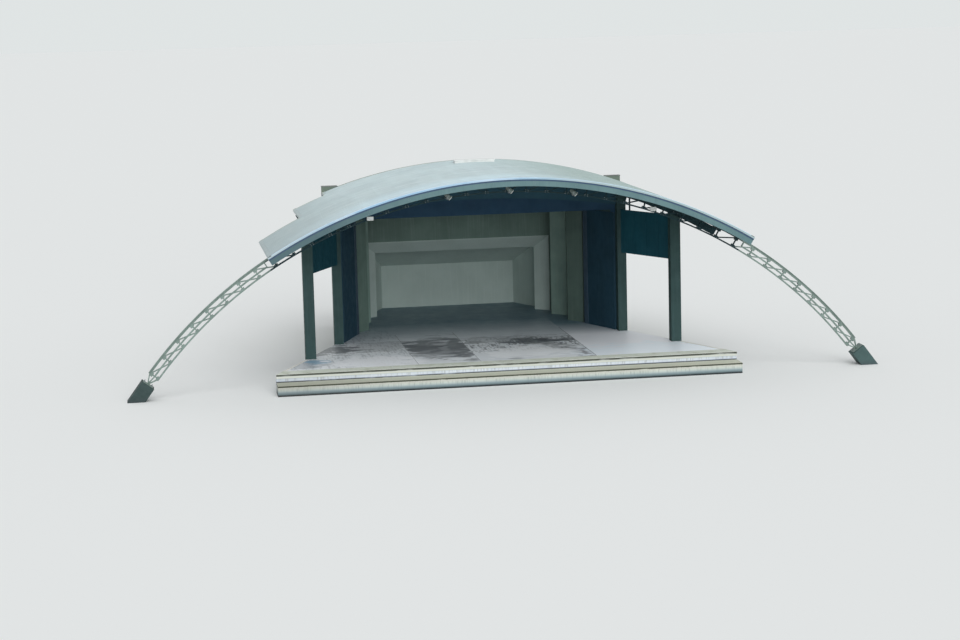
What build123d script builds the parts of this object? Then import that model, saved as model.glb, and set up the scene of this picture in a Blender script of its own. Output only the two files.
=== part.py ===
from build123d import *
from math import acos, asin, atan2, ceil, cos, degrees, floor, hypot, radians, sin, sqrt, tan
import os

# Outdoor stage on a pond: a barrel roof carried by a lattice arch, posts and a stage house.
# Millimetres. +X is the audience's right, +Y runs away from the audience, Z = 0 is the water.
# Sizes whose names end in _at are distances behind the front face of the lower step.
# Paired pieces are drawn on the right and mirrored to the left.

# Steps and deck
stage_half_width = 12000
step_height = 540
step_depth = 1100
stage_height = 950
tread_thickness = 120
deck_thickness = 200
nosing = 40
base_wall_thickness = 250
pier_size = 400
pier_columns = 5
pier_spacing_x = 3000
pier_rows = 2
pier_spacing_y = 4200
pier_middle_at = 6300

# Barrel roof, drawn from the circle of its underside
roof_crown_height = 10580
roof_radius = 23480
roof_half_width = 12300
roof_overhang = 1360
skin_thickness = 80
skin_lip = 40
fascia_height = 340
fascia_thickness = 60
roof_wing_back_at = 6300
roof_shoulder_back_at = 11000
roof_shoulder_half_width = 10150
purlin_depth = 185
purlin_width = 100
rib_depth = 400
rib_width = 300

# Lattice arch: a flat truss of curved chords, radial struts and diagonals
arch_at = 930
bay_angle = 2.6
outer_chord_depth = 130
flange_thickness = 25
web_thickness = 20
middle_chord_drop = 365
lower_chord_drop = 605
chord_size = 75
brace_size = 55
truss_width = 110
splice_angle = 14.3
leg_chord_angle = 32.3
shoe_length = 260
shoe_thickness = 40

# Arch footings, their tops square to the leg
footing_height = 1044
footing_depth = 840
footing_margin = 38

# Posts and the panels between them
front_post_at = 5490
front_post_size = 550
mid_post_x = 7950
mid_post_at = 10100
mid_post_size = 500
screen_drop = 10
screen_height = 2400
screen_thickness = 80
strut_size = 80
border_side_depth = 660
border_middle_depth = 1375
border_thickness = 60

# Stage house behind a lintel that is wider than it, and a low annex behind the house
house_front_at = 12500
house_half_width = 7300
house_height = 8600
house_wall = 300
house_roof_thickness = 250
opening_half_width = 7100
opening_height = 7530
front_wall_half_width = 7850
lintel_half_width = 8430
lintel_drop = 1230
lintel_end_drop = 330
gable_thickness = 150
annex_clearance = 70
annex_roof_thickness = 200

# Wing flats beside the opening and two pairs of wing panels behind it
panel_thickness = 80
panel_height = 7000
flat_outer_x = 7640
flat_outer_at = 10680
flat_inner_x = 6540
flat_inner_at = 13710
front_panel_outer_x = 6530
front_panel_outer_at = 14060
front_panel_inner_x = 5820
front_panel_inner_at = 15120
back_panel_outer_x = 6170
back_panel_outer_at = 17090
back_panel_inner_x = 5400
back_panel_inner_at = 18000

# Backdrop with its splayed portal, and the recess behind it
backdrop_at = 19550
backdrop_thickness = 150
portal_half_width = 5570
portal_height = 4500
portal_rim = 40
portal_narrowing = 800
portal_lowering = 710
portal_depth = 630
lining_thickness = 80
recess_reveal = 170
recess_back_half_width = 4060
recess_back_height = 2590
recess_depth = 4000

# Fittings
ridge_box_x = -170
ridge_box_at = 10300
ridge_box_length = 2200
ridge_box_width = 500
ridge_box_height = 140
floodlight_x = -7010
floodlight_rise = 50
floodlight_width = 330
floodlight_height = 200
floodlight_depth = 160
spotlight_x = (-3060, 100, 3400)
spotlight_rise = 130
spotlight_length = 400
spotlight_mouth_radius = 125
spotlight_rear_radius = 75
spotlight_tilt = 50
spotlight_sides = 12
clamp_width = 90
clamp_depth = 70
screen_lamp_x = 9170
lamp_stem_height = 130
lamp_stem_size = 50
lamp_length = 270
lamp_height = 130
lamp_depth = 160

# Sizes that follow from the ones above
backdrop_back_at = backdrop_at + backdrop_thickness
recess_back_at = backdrop_back_at + recess_depth
annex_inner_back_at = recess_back_at + lining_thickness + annex_clearance
annex_back_at = annex_inner_back_at + house_wall
front_y = (roof_overhang - annex_back_at) / 2
axis_z = roof_crown_height - roof_radius
deck_underside = stage_height - deck_thickness
skin_radius = roof_radius + skin_thickness
truss_radius = roof_radius - purlin_depth
rib_radius = truss_radius - rib_depth
middle_radius = truss_radius - middle_chord_drop
lower_radius = truss_radius - lower_chord_drop
roof_half_angle = degrees(asin(roof_half_width / roof_radius))
roof_bays = floor(roof_half_angle / bay_angle - 0.5)
footing_angle = degrees(acos((footing_height - axis_z) / (truss_radius + footing_margin)))
leg_bays = floor(footing_angle / bay_angle)
side_slope = (stage_half_width - mid_post_x - mid_post_size / 2) / (mid_post_at - step_depth)
fascia_at = skin_lip - roof_overhang
house_inside = house_half_width - house_wall
house_inner_front_at = house_front_at + house_wall
house_ceiling = house_height - house_roof_thickness
lintel_top = roof_crown_height + skin_thickness - lintel_drop
recess_mouth = (portal_half_width + recess_reveal, portal_height + recess_reveal)
recess_outside = (recess_mouth[0] + lining_thickness, recess_mouth[1] + lining_thickness)
annex_inside = recess_outside[0] + annex_clearance
annex_ceiling = stage_height + recess_outside[1] + annex_clearance


def side_x(at):
    """Half width of the deck at a distance behind the front, on its splayed side."""
    return stage_half_width - side_slope * (at - step_depth)


front_post_x = side_x(front_post_at) - front_post_size / 2
post_shapes = (
    (front_post_x, front_post_at, front_post_size),
    (mid_post_x, mid_post_at, mid_post_size),
)


def save(piece, name):
    """Labels a finished piece and writes it to its own file."""
    piece.part.label = name
    export_step(piece.part, f"parts/{name}.step")


def save_pair(piece, name):
    """Saves a piece of the right half and its mirror image on the left."""
    with BuildPart() as image:
        mirror(piece.part, about=Plane.YZ)
    save(piece, f"{name}_right")
    save(image, f"{name}_left")


def save_both(piece, name):
    """Saves a piece of the right half and its mirror image as one node of two bodies."""
    with BuildPart() as both:
        add(piece.part)
        mirror(piece.part, about=Plane.YZ)
    save(both, name)


def facing(at):
    """Upright plane that faces the audience, at a distance behind the front."""
    return Plane.XZ.offset(-(front_y + at))


def block(x_from, x_to, at_from, at_to, z_from, z_to):
    """Square-cornered block between two corners."""
    with BuildPart() as piece:
        with BuildSketch(Plane.XY.offset(z_from)):
            with Locations((x_from, front_y + at_from)):
                Rectangle(x_to - x_from, at_to - at_from, align=(Align.MIN, Align.MIN))
        extrude(amount=z_to - z_from)
    return piece


def upright_panel(outer_x, outer_at, inner_x, inner_at, top):
    """Flat panel that stands on the stage along the line between two points."""
    start = Vector(outer_x, front_y + outer_at, stage_height)
    run = Vector(inner_x, front_y + inner_at, stage_height) - start
    with BuildPart() as panel:
        with BuildSketch(Plane(start, x_dir=run, z_dir=run.cross(Vector(0, 0, 1)))):
            Rectangle(run.length, top - stage_height, align=(Align.MIN, Align.MIN))
        extrude(amount=panel_thickness / 2, both=True)
    return panel


def ring(outer, inner, first, last, mode=Mode.ADD):
    """Sketches a band about the roof's axis between two angles from the crown."""
    with BuildLine() as outline:
        top = CenterArc((0, axis_z), outer, 90 - last, last - first)
        low = CenterArc((0, axis_z), inner, 90 - last, last - first)
        Line(top @ 0, low @ 0)
        Line(top @ 1, low @ 1)
    make_face(outline.edges(), mode=mode)


def on_arc(radius, angle):
    """Point on a circle about the roof's axis, at an angle from the crown."""
    return radius * sin(radians(angle)), axis_z + radius * cos(radians(angle))


def bar(start, end):
    """Sketches a straight brace between two points."""
    run, rise = end[0] - start[0], end[1] - start[1]
    middle = ((start[0] + end[0]) / 2, (start[1] + end[1]) / 2, 0)
    with Locations(Location(middle, (0, 0, degrees(atan2(rise, run))))):
        Rectangle(hypot(run, rise), brace_size)


def height_under(radius, x):
    """Height of a circle about the roof's axis at a distance from the middle."""
    return axis_z + sqrt(radius**2 - x**2)


os.makedirs("parts", exist_ok=True)

# Lower step: a tread on a riser wall that stands in the water and turns back at both ends
step_underside = step_height - tread_thickness
step_tread = block(-stage_half_width, stage_half_width, -nosing, step_depth, step_underside, step_height)
save(step_tread, "step_tread")
with BuildPart() as step_riser:
    with BuildSketch():
        with Locations((0, front_y)):
            Rectangle(2 * stage_half_width, step_depth, align=(Align.CENTER, Align.MIN))
        with Locations((0, front_y + base_wall_thickness)):
            inside = stage_half_width - base_wall_thickness
            Rectangle(2 * inside, step_depth, align=(Align.CENTER, Align.MIN), mode=Mode.SUBTRACT)
    extrude(amount=step_underside)
save(step_riser, "step_riser")

# Deck riser: the upper face below the stage's edge
riser_back_at = step_depth + base_wall_thickness
deck_riser = block(-stage_half_width, stage_half_width, step_depth, riser_back_at, 0, deck_underside)
save(deck_riser, "deck_riser")

# Deck: a slab that narrows towards the stage house, notched round the four posts
with BuildPart() as stage_deck:
    with BuildSketch(Plane.XY.offset(deck_underside)):
        with BuildLine():
            right_edge = Polyline(
                (0, front_y + step_depth - nosing),
                (stage_half_width, front_y + step_depth - nosing),
                (stage_half_width, front_y + step_depth),
                (side_x(house_front_at), front_y + house_front_at),
                (0, front_y + house_front_at),
            )
            mirror(right_edge, about=Plane.YZ)
        make_face()
        for x, at, size in post_shapes:
            with Locations((x, front_y + at), (-x, front_y + at)):
                Rectangle(size, size, align=(Align.CENTER, Align.MIN), mode=Mode.SUBTRACT)
    extrude(amount=deck_thickness)
save(stage_deck, "stage_deck")

# Side walls below the deck, one stretch between each two uprights
wall_across = base_wall_thickness * hypot(1, side_slope)
with BuildPart() as deck_side_wall:
    with BuildSketch():
        with BuildLine():
            Polyline(
                (side_x(riser_back_at), front_y + riser_back_at),
                (side_x(house_front_at), front_y + house_front_at),
                (side_x(house_front_at) - wall_across, front_y + house_front_at),
                (side_x(riser_back_at) - wall_across, front_y + riser_back_at),
                close=True,
            )
        make_face()
        for x, at, size in post_shapes:
            with Locations((x, front_y + at)):
                Rectangle(size, size, align=(Align.CENTER, Align.MIN), mode=Mode.SUBTRACT)
    extrude(amount=deck_underside)
save_both(deck_side_wall, "deck_side_walls")

# Piers below the middle of the deck
with BuildPart() as deck_piers:
    with BuildSketch():
        with Locations((0, front_y + pier_middle_at)):
            with GridLocations(pier_spacing_x, pier_spacing_y, pier_columns, pier_rows):
                Rectangle(pier_size, pier_size)
    extrude(amount=deck_underside)
save(deck_piers, "deck_piers")

# Posts: from the water up to the ribs, their tops cut to the ribs' curve
for name, (x, at, size) in zip(("front_post", "mid_post"), post_shapes):
    with BuildPart() as post:
        with BuildSketch(facing(at)):
            with Locations((x, 0)):
                Rectangle(size, roof_crown_height, align=(Align.CENTER, Align.MIN))
            with Locations((0, axis_z)):
                Circle(rib_radius, mode=Mode.INTERSECT)
        extrude(amount=-size)
    save_pair(post, name)

# Curved ribs that lie on the posts
front_rib_at = front_post_at + front_post_size / 2
mid_rib_at = mid_post_at + mid_post_size / 2
for name, at, half_width in (
    ("front_rib", front_rib_at, roof_half_width),
    ("mid_rib", mid_rib_at, roof_shoulder_half_width),
):
    half_angle = degrees(asin(half_width / roof_radius))
    with BuildPart() as rib:
        with BuildSketch(facing(at)):
            ring(truss_radius, rib_radius, -half_angle, half_angle)
        extrude(amount=rib_width / 2, both=True)
    save(rib, name)

# Border panel between the mid posts, its lower edge a flat arch
border_half_width = mid_post_x - mid_post_size / 2
border_side_top = height_under(rib_radius, border_half_width)
border_middle_top = height_under(rib_radius, 0)
with BuildPart() as border_panel:
    with BuildSketch(facing(mid_rib_at)):
        with BuildLine():
            low = ThreePointArc(
                (-border_half_width, border_side_top - border_side_depth),
                (0, border_middle_top - border_middle_depth),
                (border_half_width, border_side_top - border_side_depth),
            )
            high = ThreePointArc(
                (-border_half_width, border_side_top),
                (0, border_middle_top),
                (border_half_width, border_side_top),
            )
            Line(low @ 0, high @ 0)
            Line(low @ 1, high @ 1)
        make_face()
    extrude(amount=border_thickness / 2, both=True)
save(border_panel, "border_panel")

# Side screens between the front and mid posts
screen_front_at = front_post_at + front_post_size
screen_top = height_under(rib_radius, front_post_x) - screen_drop
with BuildPart() as side_screen:
    with BuildSketch(Plane.XY.offset(screen_top - screen_height)):
        with BuildLine():
            Polyline(
                (front_post_x - screen_thickness / 2, front_y + screen_front_at),
                (front_post_x + screen_thickness / 2, front_y + screen_front_at),
                (mid_post_x + screen_thickness / 2, front_y + mid_post_at),
                (mid_post_x - screen_thickness / 2, front_y + mid_post_at),
                close=True,
            )
        make_face()
    extrude(amount=screen_height)
save_both(side_screen, "side_screens")

# Purlins over the nodes of the arch and along both edges, back to the roof's stepped rear edge
purlin_at = fascia_at + fascia_thickness
purlin_half_angle = degrees(purlin_width / 2 / roof_radius)
edge_angle = roof_half_angle - purlin_half_angle
purlin_angles = [index * bay_angle for index in range(-roof_bays, roof_bays + 1)]
with BuildPart() as roof_purlins:
    for angle in (-edge_angle, *purlin_angles, edge_angle):
        x = roof_radius * sin(radians(abs(angle)))
        back_at = roof_wing_back_at
        if x < roof_shoulder_half_width:
            back_at = roof_shoulder_back_at
        if x < lintel_half_width:
            back_at = house_front_at
        with BuildSketch(facing(purlin_at)):
            ring(roof_radius, truss_radius, angle - purlin_half_angle, angle + purlin_half_angle)
        extrude(amount=purlin_at - back_at)
save(roof_purlins, "roof_purlins")

# Short struts from the screens up to the purlins above them
with BuildPart() as screen_struts:
    for angle in purlin_angles[roof_bays:]:
        x = truss_radius * sin(radians(angle))
        share = (front_post_x - x) / (front_post_x - mid_post_x)
        strut_at = screen_front_at + share * (mid_post_at - screen_front_at)
        if screen_front_at + strut_size < strut_at < mid_post_at - strut_size:
            with BuildSketch(Plane.XY.offset(screen_top)):
                with Locations((x, front_y + strut_at), (-x, front_y + strut_at)):
                    Rectangle(strut_size, strut_size)
            extrude(amount=roof_crown_height - screen_top)
    with BuildSketch(facing(0)):
        with Locations((0, axis_z)):
            Circle(truss_radius)
    extrude(amount=-house_front_at, mode=Mode.INTERSECT)
save(screen_struts, "screen_struts")

# Roof skin: a shallow barrel, deepest over the middle and stepped back towards its ends
with BuildPart() as roof_skin:
    with BuildSketch(facing(-roof_overhang)):
        ring(skin_radius, roof_radius, -roof_half_angle, roof_half_angle)
    extrude(amount=-(roof_overhang + house_front_at))
    with BuildSketch():
        with Locations((0, front_y - roof_overhang)):
            for half_width, back_at in (
                (stage_half_width + roof_half_width, roof_wing_back_at),
                (roof_shoulder_half_width, roof_shoulder_back_at),
                (lintel_half_width, house_front_at),
            ):
                Rectangle(2 * half_width, roof_overhang + back_at, align=(Align.CENTER, Align.MIN))
    extrude(amount=roof_crown_height + skin_thickness, mode=Mode.INTERSECT)
save(roof_skin, "roof_skin")

# Arched fascia behind the skin's lip
with BuildPart() as roof_fascia:
    with BuildSketch(facing(fascia_at)):
        ring(roof_radius, roof_radius - fascia_height, -roof_half_angle, roof_half_angle)
    extrude(amount=-fascia_thickness)
save(roof_fascia, "roof_fascia")


def arch_stretch(first, last, middle_chord_from=None):
    """Stretch of the lattice arch between two angles from the crown."""
    inner_flange = truss_radius - outer_chord_depth
    with BuildPart() as stretch:
        with BuildSketch(facing(arch_at)):
            for node in range(floor(first / bay_angle), ceil(last / bay_angle) + 1):
                outer_end = on_arc(inner_flange + flange_thickness, node * bay_angle)
                bar(on_arc(lower_radius, node * bay_angle), outer_end)
                if node != 0:
                    uphill = node - 1 if node > 0 else node + 1
                    bar(on_arc(lower_radius, uphill * bay_angle), outer_end)
            if middle_chord_from:
                outer_end = on_arc(inner_flange + flange_thickness, middle_chord_from)
                bar(on_arc(middle_radius, middle_chord_from), outer_end)
                ring(middle_radius + chord_size / 2, middle_radius - chord_size / 2, middle_chord_from, last)
            ring(lower_radius + chord_size / 2, lower_radius - chord_size / 2, first, last)
            ring(truss_radius, inner_flange, first, last)
            ring(truss_radius, lower_radius - chord_size / 2, first, last, Mode.INTERSECT)
        extrude(amount=truss_width / 2, both=True)
        for side in (-1, 1):
            with BuildSketch(facing(arch_at + side * truss_width / 2)):
                ring(truss_radius - flange_thickness, inner_flange + flange_thickness, first, last)
            extrude(amount=side * (truss_width - web_thickness) / 2, mode=Mode.SUBTRACT)
    return stretch


# Lattice arch: the span over the stage in three stretches
save(arch_stretch(-splice_angle, splice_angle), "arch_middle")
save_pair(arch_stretch(splice_angle, roof_half_angle), "arch_shoulder")

# Legs: below their last strut the three chords run together to a shoe on the footing
leg_angle = leg_bays * bay_angle + degrees(brace_size / 2 / lower_radius)
shoe_radius = (truss_radius + lower_radius) / 2
shoe_angle = footing_angle - degrees(shoe_thickness / shoe_radius)
with BuildPart() as arch_leg:
    add(arch_stretch(roof_half_angle, leg_angle, leg_chord_angle).part)
    with BuildSketch(facing(arch_at)):
        for radius in (truss_radius - outer_chord_depth / 2, middle_radius, lower_radius):
            bar(on_arc(radius, leg_bays * bay_angle), on_arc(shoe_radius, footing_angle))
        ring(shoe_radius + shoe_length / 2, shoe_radius - shoe_length / 2, shoe_angle, footing_angle)
        ring(truss_radius, lower_radius - chord_size / 2, roof_half_angle, footing_angle, Mode.INTERSECT)
    extrude(amount=truss_width / 2, both=True)
save_pair(arch_leg, "arch_leg")

# Footings that lean with the legs and stand in the water
footing_lean = 1 / tan(radians(footing_angle))
with BuildPart() as arch_footing:
    inner_top = on_arc(lower_radius - chord_size / 2 - footing_margin, footing_angle)
    outer_top = on_arc(truss_radius + footing_margin, footing_angle)
    with BuildSketch(facing(arch_at)):
        with BuildLine():
            Polyline(
                inner_top,
                outer_top,
                (outer_top[0] + footing_lean * outer_top[1], 0),
                (inner_top[0] + footing_lean * inner_top[1], 0),
                close=True,
            )
        make_face()
    extrude(amount=footing_depth / 2, both=True)
save_both(arch_footing, "arch_footings")

# Stage house: piers, lintel and threshold round the stage opening, side walls and a flat roof
house_front_wall = block(
    opening_half_width, front_wall_half_width, house_front_at, house_inner_front_at, 0, opening_height
)
save_pair(house_front_wall, "house_front_wall")
lintel_end = block(
    front_wall_half_width,
    lintel_half_width,
    house_front_at,
    house_inner_front_at,
    opening_height - lintel_end_drop,
    lintel_top,
)
with BuildPart() as house_lintel:
    add(lintel_end.part)
    mirror(lintel_end.part, about=Plane.YZ)
    with BuildSketch(facing(house_front_at)):
        with Locations((0, opening_height)):
            Rectangle(
                2 * front_wall_half_width, lintel_top - opening_height, align=(Align.CENTER, Align.MIN)
            )
    extrude(amount=house_front_at - house_inner_front_at)
save(house_lintel, "house_lintel")
threshold_wall = block(
    -opening_half_width, opening_half_width, house_front_at, house_inner_front_at, 0, stage_height
)
save(threshold_wall, "threshold_wall")
house_side_wall = block(house_inside, house_half_width, house_inner_front_at, backdrop_back_at, 0, house_height)
save_both(house_side_wall, "house_side_walls")
house_roof = block(-house_inside, house_inside, house_inner_front_at, backdrop_at, house_ceiling, house_height)
save(house_roof, "house_roof")

# Floor of the house, through the backdrop into the annex
with BuildPart() as house_floor:
    with BuildSketch(Plane.XY.offset(deck_underside)):
        for half_width, first_at, last_at in (
            (house_inside, house_inner_front_at, backdrop_at),
            (portal_half_width, backdrop_at, backdrop_back_at),
            (annex_inside, backdrop_back_at, annex_inner_back_at),
        ):
            with Locations((0, front_y + first_at)):
                Rectangle(2 * half_width, last_at - first_at, align=(Align.CENTER, Align.MIN))
    extrude(amount=deck_thickness)
save(house_floor, "house_floor")

# Annex: three walls and a flat roof round the recess
with BuildPart() as annex_walls:
    with BuildSketch():
        with Locations((0, front_y + backdrop_back_at)):
            annex_half_width = annex_inside + house_wall
            Rectangle(
                2 * annex_half_width, annex_back_at - backdrop_back_at, align=(Align.CENTER, Align.MIN)
            )
            Rectangle(
                2 * annex_inside,
                annex_inner_back_at - backdrop_back_at,
                align=(Align.CENTER, Align.MIN),
                mode=Mode.SUBTRACT,
            )
    extrude(amount=annex_ceiling + annex_roof_thickness)
save(annex_walls, "annex_walls")
annex_roof = block(
    -annex_inside,
    annex_inside,
    backdrop_back_at,
    annex_inner_back_at,
    annex_ceiling,
    annex_ceiling + annex_roof_thickness,
)
save(annex_roof, "annex_roof")

# Gable that closes the barrel roof above the flat one
with BuildPart() as rear_gable:
    with BuildSketch(facing(house_front_at)):
        with Locations((0, axis_z)):
            Circle(skin_radius)
        with Locations((0, lintel_top)):
            Rectangle(2 * lintel_half_width, skin_radius, align=(Align.CENTER, Align.MIN), mode=Mode.INTERSECT)
    extrude(amount=-gable_thickness)
save(rear_gable, "rear_gable")

# Wing flats and wing panels, each pair closer together than the one in front
panel_top = stage_height + panel_height
wing_flat = upright_panel(flat_outer_x, flat_outer_at, flat_inner_x, flat_inner_at, opening_height)
save_both(wing_flat, "wing_flats")
front_wing_panel = upright_panel(
    front_panel_outer_x, front_panel_outer_at, front_panel_inner_x, front_panel_inner_at, panel_top
)
save_both(front_wing_panel, "front_wing_panels")
back_wing_panel = upright_panel(
    back_panel_outer_x, back_panel_outer_at, back_panel_inner_x, back_panel_inner_at, panel_top
)
save_both(back_wing_panel, "back_wing_panels")

# Backdrop: the wall at the back of the stage house, open at the portal
portal_top = stage_height + portal_height
backdrop = block(portal_half_width, house_inside, backdrop_at, backdrop_back_at, 0, house_height)
save_pair(backdrop, "backdrop")
backdrop_head = block(
    -portal_half_width, portal_half_width, backdrop_at, backdrop_back_at, portal_top, house_height
)
save(backdrop_head, "backdrop_head")


def funnel(front_at, back_at, front_size, back_size):
    """Solid on the stage floor that narrows evenly from one upright rectangle to another."""
    front_half, front_height = front_size
    back_half, back_height = back_size
    with BuildPart() as solid:
        with BuildSketch(Plane.XY.offset(stage_height)):
            with BuildLine():
                right_edge = Polyline(
                    (0, front_y + front_at),
                    (front_half, front_y + front_at),
                    (back_half, front_y + back_at),
                    (0, front_y + back_at),
                )
                mirror(right_edge, about=Plane.YZ)
            make_face()
        extrude(amount=max(front_height, back_height))
        with BuildSketch(Plane.YZ):
            with BuildLine():
                Polyline(
                    (front_y + front_at, stage_height),
                    (front_y + front_at, stage_height + front_height),
                    (front_y + back_at, stage_height + back_height),
                    (front_y + back_at, stage_height),
                    close=True,
                )
            make_face()
        extrude(amount=max(front_half, back_half), both=True, mode=Mode.INTERSECT)
    return solid


# Portal: a straight reveal through the backdrop, then a lining splayed on three sides
portal_outside = (portal_half_width, portal_height)
portal_mouth = (portal_half_width - portal_rim, portal_height - portal_rim)
portal_throat = (portal_half_width - portal_narrowing, portal_height - portal_lowering)
portal_end = (portal_throat[0] + lining_thickness, portal_throat[1] + lining_thickness)
portal_back_at = backdrop_at + portal_depth
with BuildPart() as portal_lining:
    add(funnel(backdrop_at, backdrop_back_at, portal_outside, portal_outside).part)
    add(funnel(backdrop_back_at, portal_back_at, portal_outside, portal_end).part)
    add(funnel(backdrop_at, portal_back_at, portal_mouth, portal_throat).part, mode=Mode.SUBTRACT)
save(portal_lining, "portal_lining")

# Recess: splayed sides and ceiling that narrow to a plain back wall
recess_end = (recess_back_half_width, recess_back_height)
recess_back = (recess_back_half_width + lining_thickness, recess_back_height + lining_thickness)
with BuildPart() as recess_lining:
    add(funnel(backdrop_back_at, recess_back_at, recess_outside, recess_back).part)
    add(funnel(backdrop_back_at, recess_back_at, recess_mouth, recess_end).part, mode=Mode.SUBTRACT)
save(recess_lining, "recess_lining")
recess_back_wall = block(
    -recess_back[0],
    recess_back[0],
    recess_back_at,
    recess_back_at + lining_thickness,
    stage_height,
    stage_height + recess_back[1],
)
save(recess_back_wall, "recess_back_wall")

# Low box on the roof's ridge, its foot cut to the skin
with BuildPart() as ridge_box:
    with BuildSketch(facing(ridge_box_at)):
        with Locations((ridge_box_x, roof_crown_height + skin_thickness + ridge_box_height)):
            Rectangle(ridge_box_length, 2 * ridge_box_height, align=(Align.CENTER, Align.MAX))
        with Locations((0, axis_z)):
            Circle(skin_radius, mode=Mode.SUBTRACT)
    extrude(amount=-ridge_box_width)
save(ridge_box, "ridge_box")

# Floodlight and tilted spotlights on the front of the arch's lower chord, and a lamp on the right screen
chord_front_at = arch_at - truss_width / 2
spotlight_taper = degrees(atan2(spotlight_mouth_radius - spotlight_rear_radius, spotlight_length))
with BuildPart() as stage_lights:
    for x in (floodlight_x, *spotlight_x):
        with BuildSketch(facing(chord_front_at)):
            with Locations((x, height_under(lower_radius, x))):
                Rectangle(clamp_width, chord_size / 2)
        extrude(amount=clamp_depth + spotlight_rear_radius)
    with BuildSketch(facing(chord_front_at - clamp_depth)):
        with Locations((floodlight_x, height_under(lower_radius, floodlight_x) + floodlight_rise)):
            Rectangle(floodlight_width, floodlight_height)
    extrude(amount=floodlight_depth)
    for x in spotlight_x:
        spotlight_y = front_y + chord_front_at - clamp_depth - spotlight_mouth_radius
        spotlight_axis = Plane(
            origin=(x, spotlight_y, height_under(lower_radius, x) + spotlight_rise),
            z_dir=(-sin(radians(spotlight_tilt)), 0, cos(radians(spotlight_tilt))),
        )
        with BuildSketch(spotlight_axis.offset(-spotlight_length / 2)):
            RegularPolygon(spotlight_mouth_radius, spotlight_sides)
        extrude(amount=spotlight_length, taper=spotlight_taper)
    lamp_share = (front_post_x - screen_lamp_x) / (front_post_x - mid_post_x)
    lamp_at = screen_front_at + lamp_share * (mid_post_at - screen_front_at)
    with BuildSketch(Plane.XY.offset(screen_top)):
        with Locations((screen_lamp_x, front_y + lamp_at)):
            Rectangle(lamp_stem_size, lamp_stem_size)
    extrude(amount=lamp_stem_height)
    with BuildSketch(Plane.XY.offset(screen_top + lamp_stem_height)):
        with Locations((screen_lamp_x, front_y + lamp_at)):
            Rectangle(lamp_length, lamp_depth)
    extrude(amount=lamp_height)
save(stage_lights, "stage_lights")
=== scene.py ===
"""Dresses the outdoor stage: finishes for its solids, fine pieces on them, light and camera."""
import logging
import math
from dataclasses import dataclass, field
from enum import Enum
from functools import cache
from typing import ClassVar

import bmesh
import bpy
from mathutils import Matrix, Vector


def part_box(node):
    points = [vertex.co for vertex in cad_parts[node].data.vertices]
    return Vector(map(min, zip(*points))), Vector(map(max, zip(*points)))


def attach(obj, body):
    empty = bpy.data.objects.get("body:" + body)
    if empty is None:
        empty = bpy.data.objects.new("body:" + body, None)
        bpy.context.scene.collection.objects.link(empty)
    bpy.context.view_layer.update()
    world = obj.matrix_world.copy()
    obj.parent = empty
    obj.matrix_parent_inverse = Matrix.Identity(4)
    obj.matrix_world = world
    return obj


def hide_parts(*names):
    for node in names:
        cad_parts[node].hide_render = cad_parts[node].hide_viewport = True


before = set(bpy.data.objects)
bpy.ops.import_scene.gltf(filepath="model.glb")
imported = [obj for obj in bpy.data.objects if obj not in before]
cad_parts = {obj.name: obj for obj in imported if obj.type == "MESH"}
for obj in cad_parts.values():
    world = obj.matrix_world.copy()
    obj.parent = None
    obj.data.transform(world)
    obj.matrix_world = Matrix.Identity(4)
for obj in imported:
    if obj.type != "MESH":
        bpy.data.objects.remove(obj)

log = logging.getLogger("outdoor_stage")
Socket = bpy.types.NodeSocket
Element = bmesh.types.BMVert | bmesh.types.BMEdge | bmesh.types.BMFace
Value = Socket | float | tuple[float, ...]
Point = tuple[float, float, float]
Span = tuple[float, float]
Noise = tuple[float, float, float, Point]
Tint = tuple[str, float]
Solids = dict[str, tuple[str, ...]]
SIDES = (-1, 1)
MIX_BELOW, MIX_ABOVE, MIX_RESULT = 6, 7, 2  # the mix node's sockets for colours
FAR = 40.0  # metres, beyond the object on every axis


def linear(colour: str) -> tuple[float, float, float, float]:
    """Turns an sRGB hex colour to linear.

    Args:
        colour: six hex digits after a hash sign.

    Returns:
        Red, green, blue and a full alpha.
    """
    shares = [int(colour[start:start + 2], 16) / 255 for start in (1, 3, 5)]
    red, green, blue = (s / 12.92 if s <= 0.04045 else ((s + 0.055) / 1.055) ** 2.4 for s in shares)
    return red, green, blue, 1.0


class Axis(Enum):
    """Axis of the shared frame that a pattern follows."""

    ACROSS = "X"
    DEEP = "Y"
    UP = "Z"


class Nodes:
    """Node tree of a material or of the world while it is put together."""

    def __init__(self, owner: bpy.types.Material | bpy.types.World) -> None:
        """Empties the tree.

        Args:
            owner: what the tree belongs to.
        """
        owner.use_nodes = True
        self.tree = owner.node_tree
        self.tree.nodes.clear()

    def add(self, kind: str, inputs: dict[int | str, Value] | None = None, output: int | str = 0,
            **settings: object) -> Socket | None:
        """Adds a node with its settings and links.

        Args:
            kind: the node's type.
            inputs: values or linked sockets by input name or number.
            output: name or number of the output that is wanted.
            settings: the node's own properties.

        Returns:
            The wanted output, or None where the node has none.
        """
        node = self.tree.nodes.new(kind)
        for name, value in settings.items():
            setattr(node, name, value)
        for key, value in (inputs or {}).items():
            if isinstance(value, Socket):
                self.tree.links.new(value, node.inputs[key])
            else:
                node.inputs[key].default_value = value
        return node.outputs[output] if node.outputs else None


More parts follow.
